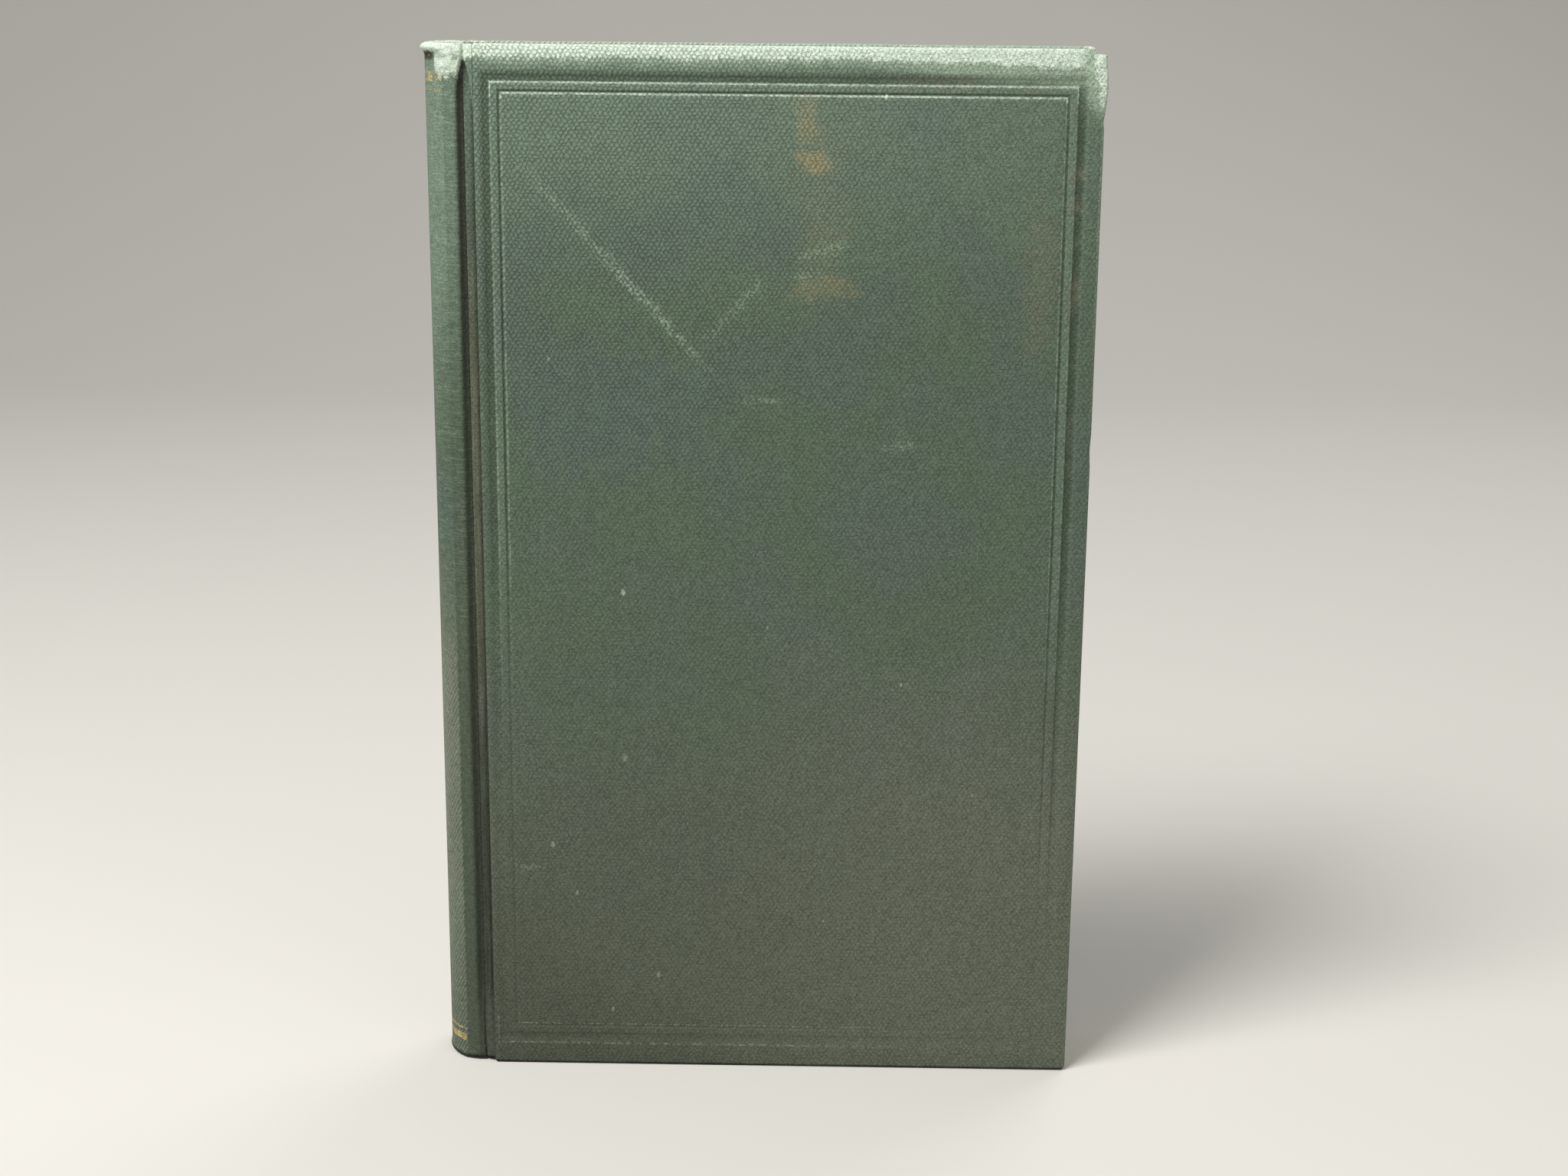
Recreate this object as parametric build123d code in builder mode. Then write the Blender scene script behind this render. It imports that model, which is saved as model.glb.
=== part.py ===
from build123d import *
import os
from math import asin, degrees, sqrt

# Cloth-bound hardback book, closed and standing on its tail. Millimetres.
# The spine is at -X and the fore-edge at +X, the front cover faces -Y and the head is up.
# The origin lies under the middle of the book, on the surface that it stands on.

# Covers
cover_height = 210.0  # head to tail, over the cloth
cover_width = 120.2  # joint to fore-edge, over the cloth
book_thickness = 20.0  # over both covers
corner_radius = 1.2  # fore-edge corners of a cover, seen from the front
edge_radius = 0.7  # cloth rounded over the edges of a board
turn_in = 15.0  # cloth folded round to the inside of a board
pastedown_margin = 4.0  # turned-in cloth left bare around the pastedown
mull_wing = 22.0  # width of the mull glued to a board

# Sheet thicknesses
board_thickness = 2.5
cloth_thickness = 0.4
inlay_thickness = 0.6
mull_thickness = 0.3
paper_thickness = 0.15

# Round spine and its joints
spine_rise = 6.7  # how far the spine stands out past its two ridges
ridge_drop = 0.8  # ridges below the faces of the covers
ridge_radius = 0.7  # cloth rolled over a ridge
joint_width = 3.7  # ridge to the edge of the board
groove_wall = 1.1  # run of the wall that falls from the ridge to the groove
groove_foot = 0.6  # flat of the spine cloth at the bottom of that wall
groove_radius = 0.5
groove_crown = 0.2  # rise of the cloth along the middle of the groove
inlay_gap = 2.6  # ridge to the edge of the card in the spine

# Leaves
square = 3.0  # how far the covers stand out past the leaves
fore_edge_hollow = 3.2  # depth of the rounded hollow in the fore-edge
shoulder_rise = 1.0  # outer leaves bent over towards the boards
shoulder_run = 3.6  # width of that bend
mull_gap = 1.0  # mull ends this short of the turned-in cloth at head and tail
mull_edge = 0.6  # mull ends this short of a shoulder
band_width = 1.6  # headband, along the radius of the spine
band_height = 1.7
band_chamfer = 0.5  # eased top of a headband
band_gap = 2.0  # headband ends this short of a shoulder

# Clearances
leaf_clearance = 0.2  # pastedown to flyleaf
joint_clearance = 0.2  # groove to the shoulder below it
hollow_clearance = 0.2  # turned-in spine cloth to mull
glue_clearance = 0.1  # mull to the back of the leaves

# Blind-stamped frame on each cover
frame_head_margin = 4.9  # also at the tail
frame_fore_margin = 3.0
frame_joint_margin = 1.1
broad_line = 2.2
broad_depth = 0.35
frame_ridge = 1.3  # raised band left between the two lines
fine_line = 0.7
fine_depth = 0.25
line_wall_angle = 40  # slope of the stamped walls, from square to the face

# Places across the book
half_width = (spine_rise + joint_width + cover_width) / 2
spine_x = -half_width
fore_x = half_width
ridge_x = spine_x + spine_rise
joint_x = ridge_x + joint_width
cover_x = (joint_x + fore_x) / 2
board_x = joint_x + cloth_thickness
corner_x = ridge_x + groove_wall
foot_x = corner_x + groove_foot

# Levels, measured from the middle of the book towards either cover
cover_face = book_thickness / 2
board_face = cover_face - cloth_thickness
board_back = board_face - board_thickness
turn_in_back = board_back - max(cloth_thickness, mull_thickness)
pastedown_back = turn_in_back - paper_thickness
block_face = pastedown_back - leaf_clearance - paper_thickness
shoulder_level = block_face + shoulder_rise
ridge_level = cover_face - ridge_drop
groove_level = shoulder_level + paper_thickness + joint_clearance + cloth_thickness

# Layers round the spine, from the outside in
spine_radius = (ridge_level**2 + spine_rise**2) / (2 * spine_rise)
spine_centre = spine_x + spine_radius
inlay_radius = spine_radius - cloth_thickness
cap_radius = inlay_radius - inlay_thickness
mull_radius = cap_radius - cloth_thickness - hollow_clearance
block_radius = mull_radius - mull_thickness - glue_clearance
inlay_angle = degrees(asin(ridge_level / spine_radius) - inlay_gap / spine_radius)
shoulder_angle = asin(shoulder_level / block_radius)
mull_angle = degrees(shoulder_angle - mull_edge / block_radius)
band_angle = degrees(shoulder_angle - band_gap / block_radius)

# Places of the leaves and their lining
mull_tail = turn_in + mull_gap
mull_height = cover_height - 2 * mull_tail
block_height = cover_height - 2 * square
block_head = cover_height - square
block_fore_x = fore_x - square
block_back_x = spine_centre - block_radius
shoulder_x = spine_centre - sqrt(block_radius**2 - shoulder_level**2)
flank_x = shoulder_x + shoulder_run


def spine_layer(outer_radius, thickness, half_angle):
    """Section of a layer that lies round the spine, seen from the head."""
    with BuildSketch() as layer:
        with BuildLine():
            start = 180 - half_angle
            outer = CenterArc((spine_centre, 0), outer_radius, start, 2 * half_angle)
            inner = CenterArc((spine_centre, 0), outer_radius - thickness, start, 2 * half_angle)
            Line(outer @ 0, inner @ 0)
            Line(outer @ 1, inner @ 1)
        make_face()
    return layer.sketch


def stamped_line(face_level, inset, width, depth):
    """Solid of one stamped line of the frame, sunk below a face at this level."""
    frame_x = (joint_x + frame_joint_margin + fore_x - frame_fore_margin) / 2
    frame_width = cover_width - frame_joint_margin - frame_fore_margin - 2 * inset
    frame_height = cover_height - 2 * frame_head_margin - 2 * inset
    with BuildPart() as line:
        with BuildSketch(Plane.XZ.offset(face_level)):
            with Locations((frame_x, cover_height / 2)):
                Rectangle(frame_width, frame_height)
        extrude(amount=-depth, taper=line_wall_angle)
        with BuildSketch(Plane.XZ.offset(face_level)):
            with Locations((frame_x, cover_height / 2)):
                Rectangle(frame_width - 2 * width, frame_height - 2 * width)
        extrude(amount=-depth, taper=-line_wall_angle, mode=Mode.SUBTRACT)
    return line.part


def stamped_frame(face_level):
    """Both lines of the frame, the broad one outside the fine one."""
    broad = stamped_line(face_level, 0, broad_line, broad_depth)
    fine = stamped_line(face_level, broad_line + frame_ridge, fine_line, fine_depth)
    return [broad, fine]


# Leaves of the book, trimmed, rounded and backed, as one solid
with BuildPart() as text_block:
    with BuildSketch(Plane.XY.offset(square)):
        with BuildLine():
            front = Line((flank_x, -block_face), (block_fore_x, -block_face))
            ThreePointArc(front @ 1, (block_fore_x - fore_edge_hollow, 0), (block_fore_x, block_face))
            back = Line((block_fore_x, block_face), (flank_x, block_face))
            back_flank = TangentArc(back @ 1, (shoulder_x, shoulder_level), tangent=(-1, 0))
            front_flank = TangentArc(front @ 0, (shoulder_x, -shoulder_level), tangent=(-1, 0))
            ThreePointArc(back_flank @ 1, (block_back_x, 0), front_flank @ 1)
        make_face()
    extrude(amount=block_height)

# Free leaf of the front endpaper, over the first leaf and its shoulder
with BuildPart() as front_flyleaf:
    with BuildSketch(Plane.XY.offset(square)):
        with BuildLine():
            leaf = Line((block_fore_x, -block_face), (flank_x, -block_face))
            TangentArc(leaf @ 1, (shoulder_x, -shoulder_level), tangent=(-1, 0))
            offset(amount=paper_thickness, side=Side.LEFT)
        make_face()
    extrude(amount=block_height)

with BuildPart() as back_flyleaf:
    mirror(front_flyleaf.part, about=Plane.XZ)

# Open-weave lining glued over the back of the leaves
with BuildPart() as spine_mull:
    with BuildSketch(Plane.XY.offset(mull_tail)):
        add(spine_layer(mull_radius, mull_thickness, mull_angle))
    extrude(amount=mull_height)

# Worked bands on the ends of the back
with BuildPart() as headband:
    with BuildSketch(Plane.XY.offset(block_head)):
        add(spine_layer(block_radius, band_width, band_angle))
    extrude(amount=band_height)
    chamfer(headband.faces().sort_by(Axis.Z)[-1].edges().filter_by(GeomType.CIRCLE), band_chamfer)

with BuildPart() as tailband:
    mirror(headband.part, about=Plane.XY.offset(cover_height / 2))

# Card that stiffens the spine
with BuildPart() as spine_inlay:
    with BuildSketch(Plane.XY.offset(cloth_thickness)):
        add(spine_layer(inlay_radius, inlay_thickness, inlay_angle))
    extrude(amount=cover_height - 2 * cloth_thickness)

# Cloth round the spine, over both ridges and down to the grooves, turned in over the card's ends
with BuildPart() as spine_cloth:
    with BuildSketch() as cloth_section:
        with BuildLine():
            Polyline((ridge_x, -ridge_level), (corner_x, -groove_level), (foot_x, -groove_level))
            Line((foot_x, -groove_level), (foot_x, groove_level))
            Polyline((foot_x, groove_level), (corner_x, groove_level), (ridge_x, ridge_level))
            ThreePointArc((ridge_x, ridge_level), (spine_x, 0), (ridge_x, -ridge_level))
        make_face()
        fillet(cloth_section.vertices().filter_by_position(Axis.X, ridge_x, ridge_x), ridge_radius)
        fillet(cloth_section.vertices().filter_by_position(Axis.X, corner_x, corner_x), groove_radius)
        offset(amount=-cloth_thickness, mode=Mode.SUBTRACT)
        with Locations((foot_x, 0)):
            Rectangle(
                cloth_thickness,
                2 * (groove_level - cloth_thickness),
                align=(Align.MAX, Align.CENTER),
                mode=Mode.SUBTRACT,
            )
    extrude(amount=cover_height)
    cap_depth = spine_radius - cap_radius + cloth_thickness
    for cap_z in (0, cover_height - cloth_thickness):
        with BuildSketch(Plane.XY.offset(cap_z)):
            add(spine_layer(spine_radius, cap_depth, inlay_angle))
        extrude(amount=cloth_thickness)
    for fold_z in (0, cover_height - turn_in):
        with BuildSketch(Plane.XY.offset(fold_z)):
            add(spine_layer(cap_radius, cloth_thickness, inlay_angle))
        extrude(amount=turn_in)

# Millboard of the front cover, with the frame pressed into it
with BuildPart() as front_board:
    with BuildSketch(Plane.XZ.offset(board_back)) as board_outline:
        with Locations((cover_x, cover_height / 2)):
            Rectangle(cover_width - 2 * cloth_thickness, cover_height - 2 * cloth_thickness)
        fillet(board_outline.vertices().group_by(Axis.X)[-1], corner_radius - cloth_thickness)
    extrude(amount=board_thickness)
    outer_edges = front_board.faces().sort_by(Axis.Y)[0].edges()
    inner_edges = front_board.faces().sort_by(Axis.Y)[-1].edges().sort_by(Axis.X)[1:]
    fillet(outer_edges + inner_edges, edge_radius - cloth_thickness)
    add(stamped_frame(board_face), mode=Mode.SUBTRACT)

# Cloth of the front cover, turned in round three edges and pressed into the frame
with BuildPart() as front_cloth:
    with BuildSketch(Plane.XZ.offset(turn_in_back)) as cloth_outline:
        with Locations((cover_x, cover_height / 2)):
            Rectangle(cover_width, cover_height)
        fillet(cloth_outline.vertices().group_by(Axis.X)[-1], corner_radius)
    extrude(amount=cover_face - turn_in_back)
    outer_edges = front_cloth.faces().sort_by(Axis.Y)[0].edges()
    inner_edges = front_cloth.faces().sort_by(Axis.Y)[-1].edges().sort_by(Axis.X)[1:]
    fillet(outer_edges + inner_edges, edge_radius)
    add(stamped_frame(cover_face), mode=Mode.SUBTRACT)
    add(front_board.part, mode=Mode.SUBTRACT)
    with BuildSketch(Plane.XZ.offset(turn_in_back)):
        with Locations((joint_x, cover_height / 2)):
            Rectangle(cover_width - turn_in, cover_height - 2 * turn_in, align=(Align.MIN, Align.CENTER))
    extrude(amount=board_back - turn_in_back, mode=Mode.SUBTRACT)

# Wing of the mull, glued to the board along its joint edge
with BuildPart() as front_mull_wing:
    with BuildSketch(Plane.XZ.offset(board_back - mull_thickness)):
        with Locations((board_x, cover_height / 2)):
            Rectangle(mull_wing, mull_height, align=(Align.MIN, Align.CENTER))
    extrude(amount=mull_thickness)

# Endpaper glued to the board, lying lower between the turned-in cloth and the mull
with BuildPart() as front_pastedown:
    paste_height = cover_height - 2 * pastedown_margin
    with BuildSketch(Plane.XZ.offset(pastedown_back)):
        with Locations((board_x, cover_height / 2)):
            paste_width = fore_x - pastedown_margin - board_x
            Rectangle(paste_width, paste_height, align=(Align.MIN, Align.CENTER))
    extrude(amount=paper_thickness)
    pan_x = board_x + mull_wing
    pan_width = fore_x - turn_in - pan_x
    pan_height = cover_height - 2 * turn_in
    with BuildSketch(Plane.XZ.offset(pastedown_back)):
        with Locations((pan_x, cover_height / 2)):
            Rectangle(pan_width, pan_height, align=(Align.MIN, Align.CENTER))
    extrude(amount=board_back - pastedown_back)
    with BuildSketch(Plane.XZ.offset(pastedown_back)):
        with Locations((pan_x + paper_thickness, cover_height / 2)):
            Rectangle(
                pan_width - 2 * paper_thickness,
                pan_height - 2 * paper_thickness,
                align=(Align.MIN, Align.CENTER),
            )
    extrude(amount=board_back - pastedown_back - paper_thickness, mode=Mode.SUBTRACT)

# Cloth along the bottom of the front groove, which bends as the cover opens
with BuildPart() as front_joint_cloth:
    with BuildSketch():
        with BuildLine():
            groove_x = (foot_x + joint_x) / 2
            under_level = groove_level - cloth_thickness
            crown_level = groove_level + groove_crown
            upper = ThreePointArc(
                (foot_x, -groove_level), (groove_x, -crown_level), (joint_x, -groove_level)
            )
            under = ThreePointArc(
                (foot_x, -under_level), (groove_x, cloth_thickness - crown_level), (joint_x, -under_level)
            )
            Line(upper @ 0, under @ 0)
            Line(upper @ 1, under @ 1)
        make_face()
    extrude(amount=cover_height)

# Back cover and its joint, the front ones mirrored
with BuildPart() as back_board:
    mirror(front_board.part, about=Plane.XZ)

with BuildPart() as back_cloth:
    mirror(front_cloth.part, about=Plane.XZ)

with BuildPart() as back_mull_wing:
    mirror(front_mull_wing.part, about=Plane.XZ)

with BuildPart() as back_pastedown:
    mirror(front_pastedown.part, about=Plane.XZ)

with BuildPart() as back_joint_cloth:
    mirror(front_joint_cloth.part, about=Plane.XZ)

pieces = {
    "text_block": text_block,
    "front_flyleaf": front_flyleaf,
    "back_flyleaf": back_flyleaf,
    "spine_mull": spine_mull,
    "headband": headband,
    "tailband": tailband,
    "spine_inlay": spine_inlay,
    "spine_cloth": spine_cloth,
    "front_board": front_board,
    "front_cloth": front_cloth,
    "front_mull_wing": front_mull_wing,
    "front_pastedown": front_pastedown,
    "front_joint_cloth": front_joint_cloth,
    "back_board": back_board,
    "back_cloth": back_cloth,
    "back_mull_wing": back_mull_wing,
    "back_pastedown": back_pastedown,
    "back_joint_cloth": back_joint_cloth,
}
os.makedirs("parts", exist_ok=True)
for label, piece in pieces.items():
    piece.part.label = label
    export_step(piece.part, f"parts/{label}.step")
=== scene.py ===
"""Worn green case cloth, old paper and worked headbands for a cloth-bound hardback book."""

import math
import random

import bmesh
import bpy
from bpy.props import FloatProperty, FloatVectorProperty, IntProperty, PointerProperty
from mathutils import Matrix, Vector, noise


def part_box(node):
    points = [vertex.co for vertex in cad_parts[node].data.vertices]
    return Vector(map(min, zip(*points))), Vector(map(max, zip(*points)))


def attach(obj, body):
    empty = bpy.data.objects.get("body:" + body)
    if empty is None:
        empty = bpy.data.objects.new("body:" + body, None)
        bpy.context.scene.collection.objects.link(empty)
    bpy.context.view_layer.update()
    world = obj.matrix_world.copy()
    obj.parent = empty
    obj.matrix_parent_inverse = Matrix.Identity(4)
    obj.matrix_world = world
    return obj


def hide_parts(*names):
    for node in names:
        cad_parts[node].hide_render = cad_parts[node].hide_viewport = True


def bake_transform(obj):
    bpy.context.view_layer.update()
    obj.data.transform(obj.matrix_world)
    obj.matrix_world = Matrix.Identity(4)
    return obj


bl_info = {
    "name": "Cloth-bound Book",
    "version": (1, 0, 0),
    "blender": (4, 5, 0),
    "location": "3D View > Sidebar > Book",
    "description": "Builds the case cloth, endpapers, leaves and headbands of a hardback book",
    "category": "Add Mesh",
}

MM = 0.001
SIDES = {"front": -1, "back": 1}

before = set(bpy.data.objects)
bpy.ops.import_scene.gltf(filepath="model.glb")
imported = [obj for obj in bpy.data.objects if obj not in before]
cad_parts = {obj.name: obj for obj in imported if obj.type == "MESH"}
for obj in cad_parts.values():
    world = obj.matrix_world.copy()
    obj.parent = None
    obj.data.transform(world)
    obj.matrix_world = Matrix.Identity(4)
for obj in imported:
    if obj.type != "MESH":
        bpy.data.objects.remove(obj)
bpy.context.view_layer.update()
COVER_LOW, COVER_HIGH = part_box("front_cloth")
JOINT_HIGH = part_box("front_joint_cloth")[1]
SPINE_LOW, SPINE_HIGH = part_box("spine_cloth")
LEAVES_LOW, LEAVES_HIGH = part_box("text_block")
PASTEDOWN_LOW, PASTEDOWN_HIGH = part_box("front_pastedown")
FLYLEAF_LOW, FLYLEAF_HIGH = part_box("front_flyleaf")
MULL_LOW, MULL_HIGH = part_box("front_mull_wing")

HEAD = COVER_HIGH.z
JOINT_X = COVER_LOW.x
FORE_X = COVER_HIGH.x
FOOT_X = SPINE_HIGH.x
SPINE_X = SPINE_LOW.x
COVER_FACE = -COVER_LOW.y
COVER_BACK = -COVER_HIGH.y
GROOVE_INSIDE = -JOINT_HIGH.y


# Settings

def linear(red, green, blue):
    """Scene-linear colour from 8-bit screen values."""
    shares = [value / 255 for value in (red, green, blue)]
    return tuple(s / 12.92 if s <= 0.04045 else ((s + 0.055) / 1.055) ** 2.4 for s in shares)


def length(name, description, millimetres):
    """A length that a user may change, in scene units."""
    return FloatProperty(
        name=name, description=description, default=millimetres * MM, min=0.0, unit="LENGTH", precision=5
    )


def tint(name, description, red, green, blue):
    """A colour that a user may change, given as it looks on screen."""
    return FloatVectorProperty(
        name=name,
        description=description,
        default=linear(red, green, blue),
        min=0.0,
        max=1.0,
        subtype="COLOR",
    )


def power(name, description, watts):
    """The power of a lamp, which a user may change."""
    return FloatProperty(name=name, description=description, default=watts, min=0.0, unit="POWER")


class BookSizes(bpy.types.PropertyGroup):
    """Sizes of the binding that the frame's boxes don't give."""

    spine_rise: length("Spine rise", "How far the round spine stands out past its ridges", 6.7)
    ridge_drop: length("Ridge drop", "Ridges of the spine below the faces of the covers", 0.8)
    groove_wall: length("Groove wall", "Run of the wall from a ridge to its groove", 1.1)
    cloth_thickness: length("Cloth", "Thickness of the case cloth", 0.4)
    inlay_thickness: length("Inlay", "Thickness of the card in the spine", 0.6)
    inlay_gap: length("Inlay gap", "Ridge to the edge of the card in the spine", 2.6)
    paper_thickness: length("Endpaper", "Thickness of an endpaper", 0.15)
    edge_radius: length("Edge radius", "Cloth rounded over the edges of a board", 0.7)
    corner_radius: length("Corner radius", "Fore-edge corners of a cover", 1.2)
    turn_in: length("Turn-in", "Cloth folded round to the inside of a board", 15.0)
    spine_turn_in: length("Spine turn-in", "Cloth folded down inside the spine", 12.0)
    frame_head_margin: length("Head margin", "Head or tail to the stamped frame", 4.9)
    frame_fore_margin: length("Fore margin", "Fore-edge to the stamped frame", 3.0)
    frame_joint_margin: length("Joint margin", "Joint to the stamped frame", 1.1)
    broad_line: length("Broad line", "Width of the outer stamped line", 2.2)
    broad_depth: length("Broad depth", "Depth of the outer stamped line", 0.35)
    frame_ridge: length("Raised band", "Band left between the stamped lines", 1.3)
    fine_line: length("Fine line", "Width of the inner stamped line", 0.7)
    fine_depth: length("Fine depth", "Depth of the inner stamped line", 0.25)
    shoulder_run: length("Shoulder run", "Width of the outer leaves' bend over the back", 3.6)
    fore_edge_hollow: length("Fore-edge hollow", "Depth of the hollow in the fore-edge", 3.2)
    leaf_bundles: IntProperty(
        name="Leaf bundles", description="Steps across the leaf edges", default=60, min=8
    )


class ClothTints(bpy.types.PropertyGroup):
    """Colours of the case cloth and of its wear."""

    dye: tint("Dye", "Ground colour of the cloth", 85, 100, 82)
    cool: tint("Cool patches", "Where the dye has turned bluish", 85, 98, 92)
    # Faded cloth; on the covers also painted light from above, lighter towards the head
    faded_and_lit: tint("Sunned", "Faded cloth towards the head and on the spine", 114, 131, 114)
    browned: tint("Browned", "Dulled cloth towards the tail", 86, 92, 78)
    # Bare threads; also a painted highlight on the walls of the stamped lines near the head
    worn: tint("Worn", "Threads rubbed bare along the edges", 200, 214, 196)
    # Rubbed cloth; also a painted highlight on the walls of the stamped lines
    rubbed_and_highlight: tint("Rubbed", "Cloth rubbed thin beside the worn edges", 150, 167, 145)
    # Dirt; also painted shade in the groove and beside the boards' edges, and painted shadow below the
    # spine's lip
    dirt_and_shade: tint("Soil", "Dirt in the joints", 52, 52, 42)
    # Near-black painted shadow along the tail, where the book stands on the floor
    painted_tail_shadow: tint("Grime", "Black dirt along the tail", 28, 27, 23)
    # Painted shade in the floors of the stamped lines; on the spine it also darkens strips beside the
    # ridges, random patches and the sides below the head
    pressed: tint("Pressed", "Cloth darkened at the bottom of the stamped lines", 62, 75, 59)
    stain: tint("Stain", "Brown stain on the front panel", 146, 136, 101)
    rust: tint("Rust", "Brownish marks along the stamped bands", 116, 110, 92)
    dusty: tint("Dusty", "Greyed cloth on the lower spine", 114, 117, 103)
    gilt: tint("Gilt", "Rubbed gold of the spine's rules", 178, 160, 106)


class PaperTints(bpy.types.PropertyGroup):
    """Colours of the papers, boards and threads."""

    leaf: tint("Leaf edges", "Trimmed edges of the leaves", 224, 211, 182)
    leaf_dark: tint("Toned edges", "Edges browned by age", 190, 169, 132)
    endpaper: tint("Endpaper", "Plain endpapers", 232, 221, 195)
    foxing: tint("Foxing", "Brown spots on old paper", 176, 137, 88)
    board: tint("Board", "Millboard and card", 138, 122, 98)
    mull: tint("Mull", "Open-weave lining", 204, 194, 170)
    thread_dark: tint("Dark thread", "First colour of the headbands", 58, 84, 62)
    thread_pale: tint("Pale thread", "Second colour of the headbands", 222, 208, 172)


class StageSettings(bpy.types.PropertyGroup):
    """Camera, lamps and floor."""

    camera_place: FloatVectorProperty(
        name="Camera",
        description="Place of the camera",
        unit="LENGTH",
        default=(0.01079, -0.46575, 0.22324),
    )
    camera_turn: FloatVectorProperty(
        name="Camera turn",
        description="Rotation of the camera",
        subtype="EULER",
        default=[math.radians(angle) for angle in (75.385, -0.52, 0.835)],
    )
    lens: FloatProperty(name="Lens", description="Focal length, in millimetres", default=54.088, min=1.0)
    key_power: power("Key", "Power of the lamp above on the left", 12.2)
    fill_power: power("Fill", "Power of the lamp on the right", 1.2)
    rear_power: power("Rear", "Power of the lamp behind", 3.0)
    sky: FloatProperty(name="Sky", description="Strength of the even light", default=0.29, min=0.0)
    floor: tint("Floor", "Floor and backdrop", 218, 214, 206)


# Small shaping functions

def lerp(first, second, share):
    """The value that lies this share of the way from first to second."""
    return first + (second - first) * share


def smooth(low, high, value):
    """0 at low, 1 at high and eased between them; low may be the larger."""
    share = min(max((value - low) / (high - low), 0.0), 1.0)
    return share * share * (3 - 2 * share)


def bell(value, middle, reach):
    """1 at the middle, falling away within about two reaches on both sides."""
    return math.exp(-(((value - middle) / reach) ** 2))


def eased(share, bunching):
    """Moves even shares of a side towards its nearer end, so that its cuts bunch up there."""
    return share - bunching * math.sin(2 * math.pi * share) / (2 * math.pi)


def arc_radius(half_width, depth):
    """Radius of an arc, from half its width and its depth."""
    return (half_width**2 + depth**2) / (2 * depth)


def wobble(point, grain, seed=0.0):
    """Smooth noise from -1 to 1 that changes over about one grain."""
    return noise.noise(Vector(point) / grain + Vector((seed, seed * 1.7, seed * 2.3)))


def softened(points, reach):
    """Rounds the inner corners of a line of points: each becomes three, within reach of it."""
    soft = [Vector(points[0])]
    for trio in zip(points, points[1:], points[2:]):
        before, corner, after = map(Vector, trio)
        first, last = (
            corner + arm * min(reach / arm.length, 0.45) for arm in (before - corner, after - corner)
        )
        soft += [first, (first + last) / 4 + corner / 2, last]
    return soft + [Vector(points[-1])]


# Mesh helpers

def extrude_rows(bm, line, edges, section, rows, place):
    """Extrudes a line of vertices once for each row; place(point, row) puts each new vertex."""
    for row in rows:
        made = bmesh.ops.extrude_edge_only(bm, edges=edges)["geom"]
        fresh = {part for part in made if isinstance(part, bmesh.types.BMVert)}
        edges = [
            part for part in made if isinstance(part, bmesh.types.BMEdge) and fresh.issuperset(part.verts)
        ]
        line = [
            next(edge.other_vert(v) for edge in v.link_edges if edge.other_vert(v) in fresh) for v in line
        ]
        for vertex, point in zip(line, section):
            vertex.co = place(point, row)


def swept_sheet(section, rows, place):
    """A sheet with a vertex for each point of its section on each of its rows."""
    bm = bmesh.new()
    line = [bm.verts.new(place(point, rows[0])) for point in section]
    edges = [bm.edges.new(pair) for pair in zip(line, line[1:])]
    extrude_rows(bm, line, edges, section, rows[1:], place)
    return bm


def unit_grid(bm, columns, rows, bunching):
    """A grid with its vertices' shares of the two sides, cut more finely towards its edges."""
    made = bmesh.ops.create_grid(bm, x_segments=columns, y_segments=rows, size=0.5)["verts"]
    return {v: (eased(v.co.x + 0.5, bunching), eased(v.co.y + 0.5, bunching)) for v in made}


def panelled_sheet(grid, rings, place):
    """A panel on the first ring, cut by unit_grid, with walls from its rim through the other rings."""
    bm = bmesh.new()
    shares = unit_grid(bm, *grid)
    for vertex, share in shares.items():
        vertex.co = place(share, rings[0])
    rim = [edge for edge in bm.edges if edge.is_boundary]
    line = [vertex for vertex in bm.verts if vertex.is_boundary]
    extrude_rows(bm, line, rim, [shares[v] for v in line], rings[1:], place)
    return bm


def make_piece(bm, name, material, stands_for, facing=None, wall=0.0):
    """Turns a bmesh into a smooth object that stands for nodes of the frame; wall thickens a sheet."""
    bmesh.ops.recalc_face_normals(bm, faces=bm.faces)
    if facing and sum((face.normal * face.calc_area() for face in bm.faces), Vector()).dot(facing) < 0:
        bmesh.ops.reverse_faces(bm, faces=bm.faces)
    mesh = bpy.data.meshes.new(name)
    bm.to_mesh(mesh)
    bm.free()
    mesh.shade_smooth()
    mesh.materials.append(material)
    piece = bpy.data.objects.new(name, mesh)
    bpy.context.scene.collection.objects.link(piece)
    if wall:
        shell = piece.modifiers.new("Thickness", "SOLIDIFY")
        shell.thickness = wall
        shell.offset = -1
    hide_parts(*stands_for)
    return piece


# Shader helpers

class Wire:
    """A socket's value in a material; arithmetic on it adds Math nodes."""

    def __init__(self, shader, socket):
        self.shader = shader
        self.socket = socket

    def math(self, operation, *others):
        return self.shader.math(operation, self, *others)

    def least(self, *others):
        """The least of this wire and others."""
        wire = self
        for other in others:
            wire = wire.math("MINIMUM", other)
        return wire

    def __add__(self, other):
        return self.math("ADD", other)

    def __sub__(self, other):
        return self.math("SUBTRACT", other)

    def __rsub__(self, other):
        return self.shader.math("SUBTRACT", other, self)

    def __mul__(self, other):
        return self.math("MULTIPLY", other)

    def __truediv__(self, other):
        return self.math("DIVIDE", other)

    def __abs__(self):
        return self.math("ABSOLUTE")

    __radd__ = __add__
    __rmul__ = __mul__


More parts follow.
